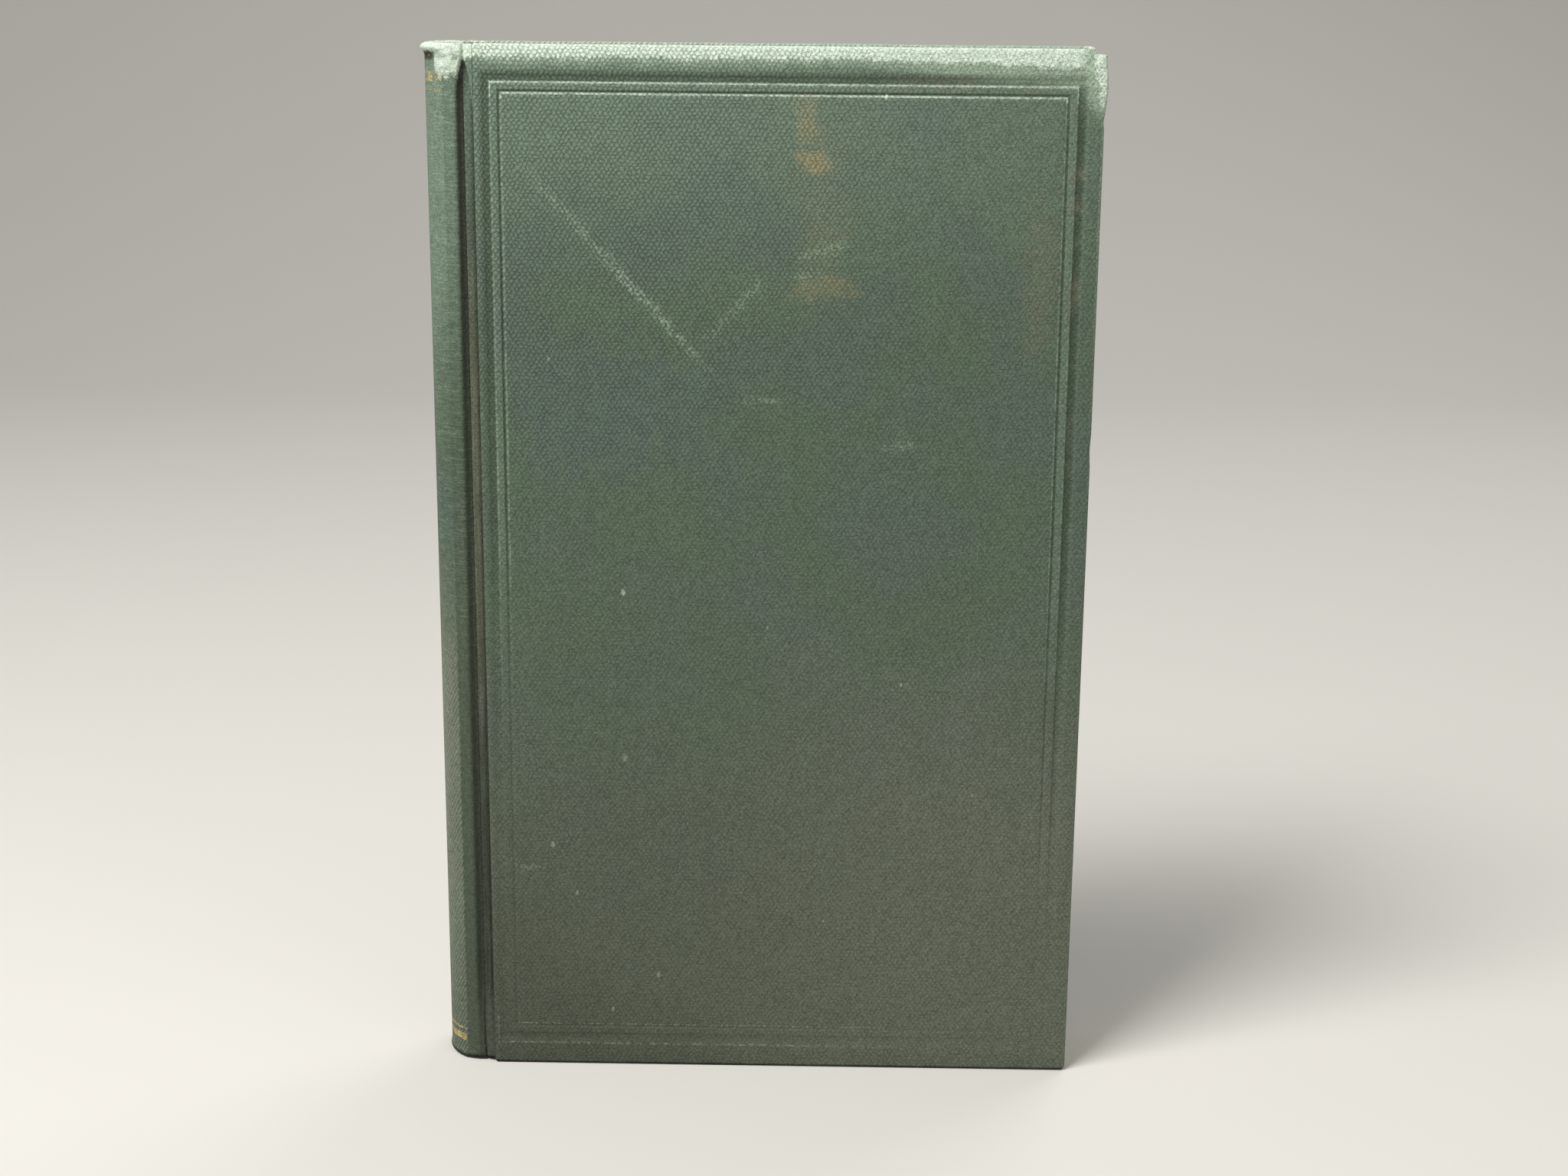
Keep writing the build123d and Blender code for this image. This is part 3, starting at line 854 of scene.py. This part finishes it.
def spine_material(tints, sizes):
    """Sunned cloth of the spine, with rubbed gilt rules, a frayed cap and dull strips beside its ridges."""
    radius, centre, ridge = spine_circle(sizes)
    inlay_end = math.degrees(ridge - sizes.inlay_gap / radius)
    ridge_x = (SPINE_X + sizes.spine_rise) / MM
    cloth = Cloth("spine_cloth", tints, 0.0)
    turn = cloth.math("ARCTAN2", cloth.y * -1, centre / MM - cloth.x) * math.degrees(1)
    aside = abs(turn)
    from_head = HEAD / MM - cloth.z
    down = from_head + cloth.patches * 30
    dull = cloth.ramp(aside + cloth.ragged * 2, inlay_end - 1.0, inlay_end + 2.0)
    cloth.lay(cloth.ramp(down, 75, 40) * 0.75, tints.faded_and_lit)
    cloth.lay((1 - dull) * cloth.ramp(down, 95, 125) * 0.9, tints.dusty)
    cloth.lay(dull * cloth.ramp(down, 60, 110) * 0.8, tints.browned)
    cloth.lay(dull * 0.3, tints.pressed)
    cloth.lay(cloth.ramp(cloth.z + cloth.ragged * 8, 30, 2) * 0.6, tints.browned)
    cloth.lay(cloth.ramp(cloth.z, 50, 5) * 0.16, tints.dirt_and_shade)
    cloth.lay(cloth.ramp(cloth.ragged + cloth.patches * 0.6, 0.0, 0.25) * 0.3, tints.pressed)

    # Threads, level above and slanting below
    threads = cloth.grain(0.4, 2.0, (8, 8, 0.6), seed=43.0)
    cloth.lay(cloth.ramp(threads, 0.46, 0.66) * cloth.ramp(down, 130, 90) * 0.24, tints.rubbed_and_highlight)
    slant = ((turn * math.radians(radius / MM) - cloth.z * 0.6) * 7.0 + cloth.ragged * 3).math("COSINE")
    slant = cloth.ramp(slant + cloth.fray, -0.2, 1.0) * cloth.ramp(down, 105, 130) * (1 - dull)
    cloth.lay(slant * 0.36, tints.rubbed_and_highlight)
    cloth.lay(cloth.ramp(aside, 15, 60) * cloth.ramp(down, 30, 60) * 0.32, tints.pressed)

    # Gilt rules at head and tail
    on_inlay = cloth.ramp(aside, inlay_end, inlay_end - 1.5)
    head_rules = cloth.band(from_head, 5.2, 7.3, 0.15) + cloth.band(from_head, 8.6, 9.2, 0.12) * 0.6
    tail_rules = cloth.band(cloth.z, 4.0, 5.5, 0.1) + cloth.band(cloth.z, 6.5, 6.95, 0.08)
    rubbed = cloth.ramp(cloth.fray + cloth.fleck * 0.5 + cloth.ragged * 0.5, -0.1, 0.16)
    cloth.lay(head_rules * on_inlay * (rubbed * 0.65 + 0.1), tints.gilt)
    cloth.lay(tail_rules * on_inlay * (rubbed * 0.5 + 0.45), tints.gilt)

    # Frayed cap, torn below its lip with a painted shadow there, the pale fluff beside the joint, dirt and
    # painted shade in the groove and a painted shadow along the tail
    cloth.rub(cloth.ramp(from_head + cloth.ragged * 1.2, 2.1, 1.1))
    beside = cloth.ramp(aside + cloth.ragged * 10, 40, 52)
    cloth.rub(beside * cloth.ramp(from_head + cloth.ragged * 6, 8.5, 3.5), 0.85)
    # Painted shadow below the spine's lip, on its torn band
    torn = cloth.band(from_head + cloth.ragged * 1.5, 1.7, 3.4, 0.4)
    cloth.lay(torn * cloth.band(aside + cloth.ragged * 8, 10, 42, 4.0) * 0.85, tints.dirt_and_shade)
    # Dirt and painted shade in the groove beyond the ridge, stronger towards the head
    groove = cloth.ramp(cloth.x, ridge_x + 0.1, ridge_x + 0.7) * (1 - pinch_share(cloth, sizes))
    cloth.lay(groove * (cloth.ramp(from_head, 110, 40) * 0.4 + 0.45), tints.dirt_and_shade)
    # Painted shadow: near-black along the tail of the spine
    cloth.lay(cloth.ramp(cloth.z + cloth.ragged, 1.5, 0.8) * 0.85, tints.painted_tail_shadow)
    return cloth.finish_cloth(0.07 * MM)


def joint_sheet(sizes, side):
    """Cloth along the bottom of a groove, from the spine's cloth to the board."""
    outward = SIDES[side]
    steps = 16
    crown = 0.19 * MM
    lap = 0.1 * MM

    def place(share, row):
        height, behind = row
        x = lerp(FOOT_X, JOINT_X + lap, share)
        level = groove_level(sizes) + crown * math.sin(math.pi * share) - behind
        level += 0.04 * MM * wobble((x, 0, height), 3 * MM, 7.0)
        turn = math.radians(lerp(62, 90, share))
        return pinched(Vector((x, outward * level, lifted(height, turn))), sizes, behind)

    section = [step / steps for step in range(steps + 1)]
    rows = [row for row in capped_rows(sizes, 0.0) if row[1] < sizes.cloth_thickness]
    return swept_sheet(section, rows, place)


def joint_material(tints, sizes):
    """Soiled cloth at the bottom of the grooves, rubbed pale where the head is pinched shut, with painted
    shade in the crevice beside the board and a painted shadow along the tail.
    """
    cloth = Cloth("joint_cloth", tints, 0.4)
    from_head = HEAD / MM - cloth.z
    shut = pinch_share(cloth, sizes)
    streaks = cloth.grain(1.4, 3.0, (0.5, 1, 9), seed=51.0)
    cloth.lay(cloth.ramp(from_head + cloth.patches * 20, 50, 4) * 0.7, tints.faded_and_lit)
    cloth.lay(cloth.ramp(from_head, 20, 70) * cloth.ramp(from_head, 170, 90) * 0.5, tints.rust)
    cloth.lay(cloth.ramp(from_head, 90, 180) * 0.5, tints.dirt_and_shade)
    streaked = cloth.ramp(streaks, 0.3, 0.62) * (cloth.ramp(from_head, 60, 200) * 0.4 + 0.35)
    cloth.lay(streaked * (1 - shut), tints.dirt_and_shade)
    # Painted shade in the crevice beside the board's edge
    crease = cloth.ramp(cloth.x, JOINT_X / MM - 1.0, JOINT_X / MM - 0.2)
    cloth.lay(crease * (1 - shut) * cloth.ramp(cloth.z, 3, 20) * 0.6, tints.dirt_and_shade)
    cloth.lay(cloth.ramp(cloth.z + cloth.ragged * 6, 18, 3) * 0.45, tints.browned)
    # Painted shadow: near-black along the tail of the joint
    cloth.lay(cloth.ramp(cloth.z + cloth.ragged, 1.5, 0.8) * 0.85, tints.painted_tail_shadow)
    cloth.rub(cloth.ramp(from_head + cloth.ragged * 2.5, 3.9, 2.0))
    return cloth.finish_cloth(0.07 * MM)


class BOOK_OT_spine_cloth(bpy.types.Operator):
    """Build the cloth of the round spine"""

    bl_idname = "book.spine_cloth"
    bl_label = "Spine Cloth"

    def execute(self, context):
        sizes, tints = context.scene.book_sizes, context.scene.book_cloth
        bm = spine_sheet(sizes)
        material = spine_material(tints, sizes)
        outward = (-1, 0, 0)
        name = "spine_case_cloth"
        nodes = ["spine_cloth"]
        piece = make_piece(bm, name, material, nodes, outward, sizes.cloth_thickness)
        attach(piece, "book_block")
        return {"FINISHED"}


class BOOK_OT_joint_cloths(bpy.types.Operator):
    """Build the cloth of both joints"""

    bl_idname = "book.joint_cloths"
    bl_label = "Joint Cloths"

    def execute(self, context):
        sizes, tints = context.scene.book_sizes, context.scene.book_cloth
        material = joint_material(tints, sizes)
        for side, outward in SIDES.items():
            bm = joint_sheet(sizes, side)
            nodes = [f"{side}_joint_cloth"]
            name = f"{side}_joint_strip"
            facing = (0, outward, 0)
            piece = make_piece(bm, name, material, nodes, facing, sizes.cloth_thickness)
            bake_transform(piece)
        return {"FINISHED"}


# Papers

def stations(*runs):
    """Places along a line: each run is its start, end, steps and how they crowd towards its start."""
    places = [runs[0][0]]
    for start, end, steps, crowding in runs:
        places += [lerp(start, end, (step / steps) ** crowding) for step in range(1, steps + 1)]
    return places


def paper_sheet(outward, columns, span, rows, level):
    """A sheet of paper beside a cover; level(x, z) is its distance from the middle of the book."""
    steps = len(columns) - 1
    bm = bmesh.new()
    bmesh.ops.create_grid(bm, x_segments=steps, y_segments=rows, size=0.5)
    for vertex in bm.verts:
        x = columns[round((vertex.co.x + 0.5) * steps)]
        z = lerp(*span, eased(vertex.co.y + 0.5, 0.6))
        vertex.co = (x, outward * level(x, z), z)
    return bm


def pastedown_level(sizes):
    """Level of a pastedown: down in the joint, then over the turn-ins and the mull that show through it."""
    over_cloth = COVER_BACK - sizes.paper_thickness
    sink = 0.16 * MM
    mull_rise = 0.07 * MM
    soft = 0.9 * MM

    def level(x, z):
        turned = max(
            smooth(FORE_X - sizes.turn_in - soft, FORE_X - sizes.turn_in, x),
            smooth(HEAD - sizes.turn_in - soft, HEAD - sizes.turn_in, z),
            smooth(sizes.turn_in + soft, sizes.turn_in, z),
            smooth(JOINT_X + 2 * soft, JOINT_X + soft, x),
        )
        lined = smooth(MULL_HIGH.x + soft, MULL_HIGH.x, x)
        lined *= smooth(MULL_LOW.z - soft, MULL_LOW.z, z) * smooth(MULL_HIGH.z + soft, MULL_HIGH.z, z)
        on_board = over_cloth + sink * (1 - turned) - mull_rise * lined * (1 - turned)
        in_joint = GROOVE_INSIDE - lerp(0.22, 0.34, smooth(FLYLEAF_LOW.x, FOOT_X, x)) * MM
        return lerp(in_joint, on_board, smooth(JOINT_X - 1.4 * MM, JOINT_X - 0.1 * MM, x))

    return level


def flyleaf_level(sizes):
    """Level of a flyleaf's outer face: flat on the leaves, and up over the shoulder at the back."""
    flat = sizes.paper_thickness - FLYLEAF_HIGH.y
    top = -FLYLEAF_LOW.y
    flank_x = FLYLEAF_LOW.x + sizes.shoulder_run

    def level(x, z):
        wave = 0.03 * MM * wobble((x, 0, z), 26 * MM, 9.0)
        return max(flat + wave, lerp(top, flat, (x - FLYLEAF_LOW.x) / (flank_x - FLYLEAF_LOW.x)))

    return level


def endpaper_material(tints):
    """Plain endpaper, toned at its edges and along the joint, with a little foxing."""
    paper = Shader("endpaper", gloss=0.15)
    fibres = paper.grain(0.5, 4.0, (3, 1, 1), seed=61.0)
    clouds = paper.grain(30.0, 3.0, seed=62.0)
    paper.colour = paper.mix(paper.ramp(clouds, 0.35, 0.7) * 0.35, tints.endpaper, tints.leaf)
    edge = (LEAVES_HIGH.x / MM - paper.x).least(
        LEAVES_HIGH.z / MM - paper.z, paper.z - LEAVES_LOW.z / MM, paper.x - FOOT_X / MM
    )
    paper.lay(paper.ramp(edge + (clouds - 0.5) * 16, 13, 0) * 0.42, tints.leaf_dark)
    spots = paper.ramp(paper.grain(3.4, 3.0, seed=63.0) + (clouds - 0.5) * 0.25, 0.71, 0.8)
    paper.lay(spots * 0.45, tints.foxing)
    paper.lay((fibres - 0.5) * 0.3, tints.leaf_dark)
    return paper.finish(0.85 + (fibres - 0.5) * 0.1, fibres, 0.01 * MM)


class BOOK_OT_endpapers(bpy.types.Operator):
    """Build the pastedowns, which bend into the joints, and the free flyleaves"""

    bl_idname = "book.endpapers"
    bl_label = "Endpapers"

    def execute(self, context):
        sizes, tints = context.scene.book_sizes, context.scene.book_paper
        material = endpaper_material(tints)
        fold_x = FLYLEAF_LOW.x + 0.2 * MM
        joint_runs = ((fold_x, FOOT_X, 5, 1), (FOOT_X, JOINT_X, 28, 1))
        pasted = stations(*joint_runs, (JOINT_X, PASTEDOWN_HIGH.x, 70, 1.4))
        free = stations((fold_x, FLYLEAF_HIGH.x, 60, 1.5))
        for side, outward in SIDES.items():
            span = (PASTEDOWN_LOW.z, PASTEDOWN_HIGH.z)
            bm = paper_sheet(outward, pasted, span, 96, pastedown_level(sizes))
            nodes = [f"{side}_pastedown"]
            name = f"{side}_paste_paper"
            inward = (0, -outward, 0)
            piece = make_piece(bm, name, material, nodes, inward, sizes.paper_thickness)
            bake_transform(piece)
            span = (FLYLEAF_LOW.z, FLYLEAF_HIGH.z)
            bm = paper_sheet(outward, free, span, 64, flyleaf_level(sizes))
            nodes = [f"{side}_flyleaf"]
            name = f"{side}_fly_paper"
            facing = (0, outward, 0)
            piece = make_piece(bm, name, material, nodes, facing, sizes.paper_thickness)
            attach(piece, "book_block")
        return {"FINISHED"}


def back_radius():
    """Radius of the rounded back of the leaves."""
    return arc_radius(LEAVES_HIGH.y, FLYLEAF_LOW.x - LEAVES_LOW.x)


def leaves_block(sizes):
    """The leaves as one block, rounded and backed, with trimmed edges that step from bundle to bundle."""
    chance = random.Random(7)
    gathering_bundles = 8
    gathering_step = 0.12
    bundle_step = 0.07
    bundle_share = 0.92
    grid = (18, 28, 0.5)
    shoulder = LEAVES_HIGH.y
    flat = -FLYLEAF_HIGH.y
    back_side = FLYLEAF_LOW.x
    run_end = back_side + sizes.shoulder_run
    back_x, fore_x = LEAVES_LOW.x, LEAVES_HIGH.x
    round_radius = back_radius()
    hollow = sizes.fore_edge_hollow
    fore_radius = arc_radius(flat, hollow)

    def place(shares, row):
        u, v = shares
        layer, trim = row
        back = back_x + round_radius - math.sqrt(round_radius**2 - (layer * shoulder) ** 2)
        fore = fore_x - hollow + fore_radius - math.sqrt(fore_radius**2 - (layer * flat) ** 2)
        x = lerp(back, fore - trim, u)
        spread = lerp(shoulder, flat, smooth(back_side, run_end, x))
        z = lerp(LEAVES_LOW.z + trim * 0.6, LEAVES_HIGH.z - trim * 0.6, v)
        return Vector((x, layer * spread, z))

    bundles = sizes.leaf_bundles
    rows = []
    gathering = 0.0
    for bundle in range(bundles):
        if bundle % gathering_bundles == 0:
            gathering = chance.uniform(0, gathering_step) * MM
        trim = gathering + chance.uniform(0, bundle_step) * MM
        rows += [(-1 + 2 * (bundle + share) / bundles, trim) for share in (0, bundle_share)]
    rows[-1] = (1.0, trim)
    bm = panelled_sheet(grid, rows, place)
    for vertex, share in unit_grid(bm, *grid).items():
        vertex.co = place(share, rows[-1])
    bmesh.ops.remove_doubles(bm, verts=bm.verts, dist=0.001 * MM)
    return bm


def leaves_material(tints):
    """Edges of old leaves: fine lines between them, browned more at the head than at the fore-edge."""
    paper = Shader("leaf_edges", gloss=0.12)
    lines = paper.grain(0.11, 2.0, (60, 1, 60), seed=71.0)
    bundles = paper.grain(0.9, 2.0, (40, 1, 40), seed=72.0)
    clouds = paper.grain(14.0, 3.0, (1, 0.5, 1), seed=73.0)
    paper.colour = paper.mix(paper.ramp(bundles, 0.35, 0.68) * 0.5, tints.leaf, tints.leaf_dark)
    paper.lay(paper.ramp(lines, 0.42, 0.7) * 0.45, tints.leaf_dark)
    paper.lay(paper.ramp(clouds, 0.45, 0.75) * 0.35, tints.leaf_dark)
    dust = paper.ramp(paper.z, LEAVES_HIGH.z / MM - 6, LEAVES_HIGH.z / MM)
    paper.lay(dust * 0.4, tints.leaf_dark)
    paper.lay(paper.ramp(paper.grain(2.2, 2.0, seed=74.0), 0.68, 0.76) * 0.5, tints.foxing)
    return paper.finish(0.88 + (lines - 0.5) * 0.1, lines + bundles * 0.6, 0.05 * MM)


class BOOK_OT_leaves(bpy.types.Operator):
    """Build the block of leaves with its stepped edges"""

    bl_idname = "book.leaves"
    bl_label = "Leaves"

    def execute(self, context):
        bm = leaves_block(context.scene.book_sizes)
        material = leaves_material(context.scene.book_paper)
        piece = make_piece(bm, "sewn_leaves", material, ["text_block"])
        piece.data.set_sharp_from_angle(angle=math.radians(40))
        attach(piece, "book_block")
        return {"FINISHED"}


# Headbands

def band_roll(node):
    """A worked headband: a roll bent round the back of the leaves, ridged by its windings."""
    low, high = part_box(node)
    half_wide = 0.8 * MM
    half_high = (high.z - low.z) / 2
    radius = back_radius()
    centre = Vector((LEAVES_LOW.x + radius, 0, (low.z + high.z) / 2))
    reach = math.asin(high.y / radius)
    windings = 46
    steps = windings * 6
    bm = bmesh.new()
    bmesh.ops.create_circle(bm, cap_ends=True, segments=16, radius=1.0)
    for vertex in bm.verts:
        out, up = vertex.co.x, vertex.co.y
        vertex.co = centre + Vector((-(radius - half_wide) + out * half_wide, 0, up * half_high))
    bmesh.ops.rotate(bm, verts=bm.verts, cent=centre, matrix=Matrix.Rotation(reach, 3, "Z"))
    bmesh.ops.spin(bm, geom=bm.faces[:], cent=centre, axis=(0, 0, 1), angle=-2 * reach, steps=steps)
    for vertex in bm.verts:
        arm = vertex.co - centre
        turn = math.atan2(-arm.y, -arm.x)
        ring = Vector((-math.cos(turn), -math.sin(turn), 0)) * (radius - half_wide)
        ridge = abs(math.sin((turn + reach) / (2 * reach) * windings * math.pi))
        vertex.co = centre + ring + (arm - ring) * lerp(0.84, 1.0, ridge)
    return bm


def band_material(tints):
    """Silk windings of two colours, in groups round the headband."""
    silk = Shader("headband_silk", gloss=0.4)
    stripes_per_radian = 26.0
    centre = (LEAVES_LOW.x + back_radius()) / MM
    turn = silk.math("ARCTAN2", silk.y, centre - silk.x)
    stripes = (turn * stripes_per_radian).math("SINE")
    strands = silk.grain(0.12, 2.0, (1, 1, 8), seed=81.0)
    silk.colour = silk.mix(silk.ramp(stripes, -0.15, 0.15), tints.thread_dark, tints.thread_pale)
    silk.lay(silk.ramp(silk.grain(4.0, 3.0, seed=82.0), 0.4, 0.7) * 0.4, tints.leaf_dark)
    return silk.finish(0.55 + (strands - 0.5) * 0.2, strands, 0.03 * MM)


class BOOK_OT_headbands(bpy.types.Operator):
    """Build the worked bands at head and tail"""

    bl_idname = "book.headbands"
    bl_label = "Headbands"

    def execute(self, context):
        material = band_material(context.scene.book_paper)
        for node in ("headband", "tailband"):
            piece = make_piece(band_roll(node), f"worked_{node}", material, [node])
            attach(piece, "book_block")
        return {"FINISHED"}


# Boards and linings

def board_block(side):
    """A millboard a little inside its cloth, with rounded fore-edge corners and the knocks of its cover."""
    low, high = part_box(f"{side}_board")
    clearance = Vector((0.3, 0.3, 0.3)) * MM
    low, high = low + clearance, high - clearance
    corner = 0.8 * MM
    bm = bmesh.new()
    bmesh.ops.create_cube(bm, size=1.0)
    for vertex in bm.verts:
        vertex.co = [lerp(low[axis], high[axis], vertex.co[axis] + 0.5) for axis in range(3)]
    corners = [edge for edge in bm.edges if all(v.co.x == high.x for v in edge.verts)]
    corners = [edge for edge in corners if edge.verts[0].co.z == edge.verts[1].co.z]
    bmesh.ops.bevel(bm, geom=corners, offset=corner, affect="EDGES", segments=5, profile=0.5, material=-1)
    if SIDES[side] < 0:
        for vertex in bm.verts:
            vertex.co = knocked(vertex.co)
    return bm


def board_material(tints):
    """Grey-brown millboard with pressed fibres."""
    board = Shader("millboard", gloss=0.1)
    fibres = board.grain(0.8, 4.0, (3, 1, 1), seed=91.0)
    board.colour = board.mix(board.ramp(fibres, 0.35, 0.7) * 0.6, tints.board, tints.leaf_dark)
    return board.finish(0.9 + (fibres - 0.5) * 0.1, fibres, 0.05 * MM)


def mull_material(tints):
    """Open-weave mull, stiff with old glue."""
    mull = Shader("mull", gloss=0.15)
    thread_spacing = 0.9
    pitch = 2 * math.pi / thread_spacing
    weave = (mull.z * pitch).math("SINE") * ((mull.x + mull.y) * pitch).math("SINE")
    glue = mull.grain(6.0, 3.0, seed=95.0)
    mull.colour = mull.mix(mull.ramp(glue, 0.4, 0.7) * 0.7, tints.mull, tints.leaf_dark)
    mull.lay(mull.ramp(weave, 0.1, -0.5) * 0.5, tints.foxing)
    return mull.finish(0.85 + weave * 0.05, weave, 0.08 * MM)


class BOOK_OT_linings(bpy.types.Operator):
    """Build the boards and give the spine's card and the mull their finish"""

    bl_idname = "book.linings"
    bl_label = "Boards and Mull"

    def execute(self, context):
        tints = context.scene.book_paper
        board = board_material(tints)
        mull = mull_material(tints)
        for side in SIDES:
            piece = make_piece(board_block(side), f"{side}_millboard", board, [f"{side}_board"])
            piece.data.set_sharp_from_angle(angle=math.radians(40))
            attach(piece, f"{side}_cover")
        finishes = {"spine_inlay": board, "spine_mull": mull}
        finishes.update({f"{side}_mull_wing": mull for side in SIDES})
        for node, material in finishes.items():
            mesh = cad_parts[node].data
            mesh.materials.clear()
            mesh.materials.append(material)
        return {"FINISHED"}


# Stage

# Place and width of each lamp, in metres
LAMPS = {
    "key": ((-0.42, -0.42, 0.95), 0.45),
    "fill": ((0.8, -0.7, 0.5), 0.7),
    "rear": ((0.45, 0.65, 0.95), 0.6),
}
FLOOR_HALF = 1.6
FLOOR_BEND = 0.8
SKY_TINT = (0.95, 0.98, 1.0, 1.0)


def add_lamp(name, place, aim, width, power):
    """A square soft lamp that faces a point."""
    data = bpy.data.lights.new(name, "AREA")
    data.size = width
    data.energy = power
    lamp = bpy.data.objects.new(name, data)
    lamp.location = place
    lamp.rotation_euler = (Vector(aim) - Vector(place)).to_track_quat("-Z", "Y").to_euler()
    bpy.context.scene.collection.objects.link(lamp)


def add_floor(colour):
    """A pale floor that curves up into a backdrop."""
    bm = bmesh.new()
    bmesh.ops.create_grid(bm, x_segments=1, y_segments=1, size=FLOOR_HALF)
    rear = [edge for edge in bm.edges if all(v.co.y > 0 for v in edge.verts)]
    made = bmesh.ops.extrude_edge_only(bm, edges=rear)["geom"]
    raised = [v for v in made if isinstance(v, bmesh.types.BMVert)]
    bmesh.ops.translate(bm, verts=raised, vec=(0, 0, FLOOR_HALF))
    bend = [edge for edge in bm.edges if all(v.co.y > 0 and v.co.z == 0 for v in edge.verts)]
    bmesh.ops.bevel(bm, geom=bend, offset=FLOOR_BEND, affect="EDGES", segments=24, profile=0.5, material=-1)
    bmesh.ops.recalc_face_normals(bm, faces=bm.faces)
    mesh = bpy.data.meshes.new("floor")
    bm.to_mesh(mesh)
    bm.free()
    mesh.shade_smooth()
    paper = Shader("floor_paper", gloss=0.1)
    paper.colour = paper.mix(paper.grain(40.0, 2.0) * 0.05, colour, (0.5, 0.5, 0.5))
    mesh.materials.append(paper.finish(0.9 + paper.grain(3.0) * 0.05, paper.grain(1.0), 0.01 * MM))
    floor = bpy.data.objects.new("floor", mesh)
    bpy.context.scene.collection.objects.link(floor)


class BOOK_OT_stage(bpy.types.Operator):
    """Set up the floor, the lamps and the camera"""

    bl_idname = "book.stage"
    bl_label = "Stage"

    def execute(self, context):
        scene = context.scene
        stage = scene.book_stage
        middle = (0, 0, HEAD / 2)
        add_floor(stage.floor)
        for name, (place, width) in LAMPS.items():
            add_lamp(name, place, middle, width, getattr(stage, f"{name}_power"))
        scene.world = bpy.data.worlds.new("soft_sky")
        scene.world.use_nodes = True
        sky = scene.world.node_tree.nodes["Background"]
        sky.inputs["Color"].default_value = SKY_TINT
        sky.inputs["Strength"].default_value = stage.sky
        data = bpy.data.cameras.new("camera")
        data.lens = stage.lens
        data.clip_start = 0.01
        camera = bpy.data.objects.new("camera", data)
        camera.location = stage.camera_place
        camera.rotation_euler = stage.camera_turn
        scene.collection.objects.link(camera)
        scene.camera = camera
        scene.view_settings.view_transform = "Standard"
        return {"FINISHED"}


# Panel and registration

OPERATORS = (
    BOOK_OT_cover_cloths,
    BOOK_OT_spine_cloth,
    BOOK_OT_joint_cloths,
    BOOK_OT_endpapers,
    BOOK_OT_leaves,
    BOOK_OT_headbands,
    BOOK_OT_linings,
    BOOK_OT_stage,
)
SETTINGS = {
    "book_sizes": BookSizes,
    "book_cloth": ClothTints,
    "book_paper": PaperTints,
    "book_stage": StageSettings,
}


class BOOK_PT_binding(bpy.types.Panel):
    """Lists the steps that build the book"""

    bl_label = "Cloth-bound Book"
    bl_idname = "BOOK_PT_binding"
    bl_space_type = "VIEW_3D"
    bl_region_type = "UI"
    bl_category = "Book"

    def draw(self, context):
        for operator in OPERATORS:
            self.layout.operator(operator.bl_idname)
        for name in SETTINGS:
            settings = getattr(context.scene, name)
            box = self.layout.box()
            for key in settings.__annotations__:
                box.prop(settings, key)


def register():
    for cls in (*SETTINGS.values(), *OPERATORS, BOOK_PT_binding):
        bpy.utils.register_class(cls)
    for name, cls in SETTINGS.items():
        setattr(bpy.types.Scene, name, PointerProperty(type=cls))


def unregister():
    for name in SETTINGS:
        delattr(bpy.types.Scene, name)
    for cls in reversed((*SETTINGS.values(), *OPERATORS, BOOK_PT_binding)):
        bpy.utils.unregister_class(cls)


def main():
    register()
    bpy.ops.book.cover_cloths()
    bpy.ops.book.spine_cloth()
    bpy.ops.book.joint_cloths()
    bpy.ops.book.endpapers()
    bpy.ops.book.leaves()
    bpy.ops.book.headbands()
    bpy.ops.book.linings()
    bpy.ops.book.stage()


if __name__ == "__main__":
    main()
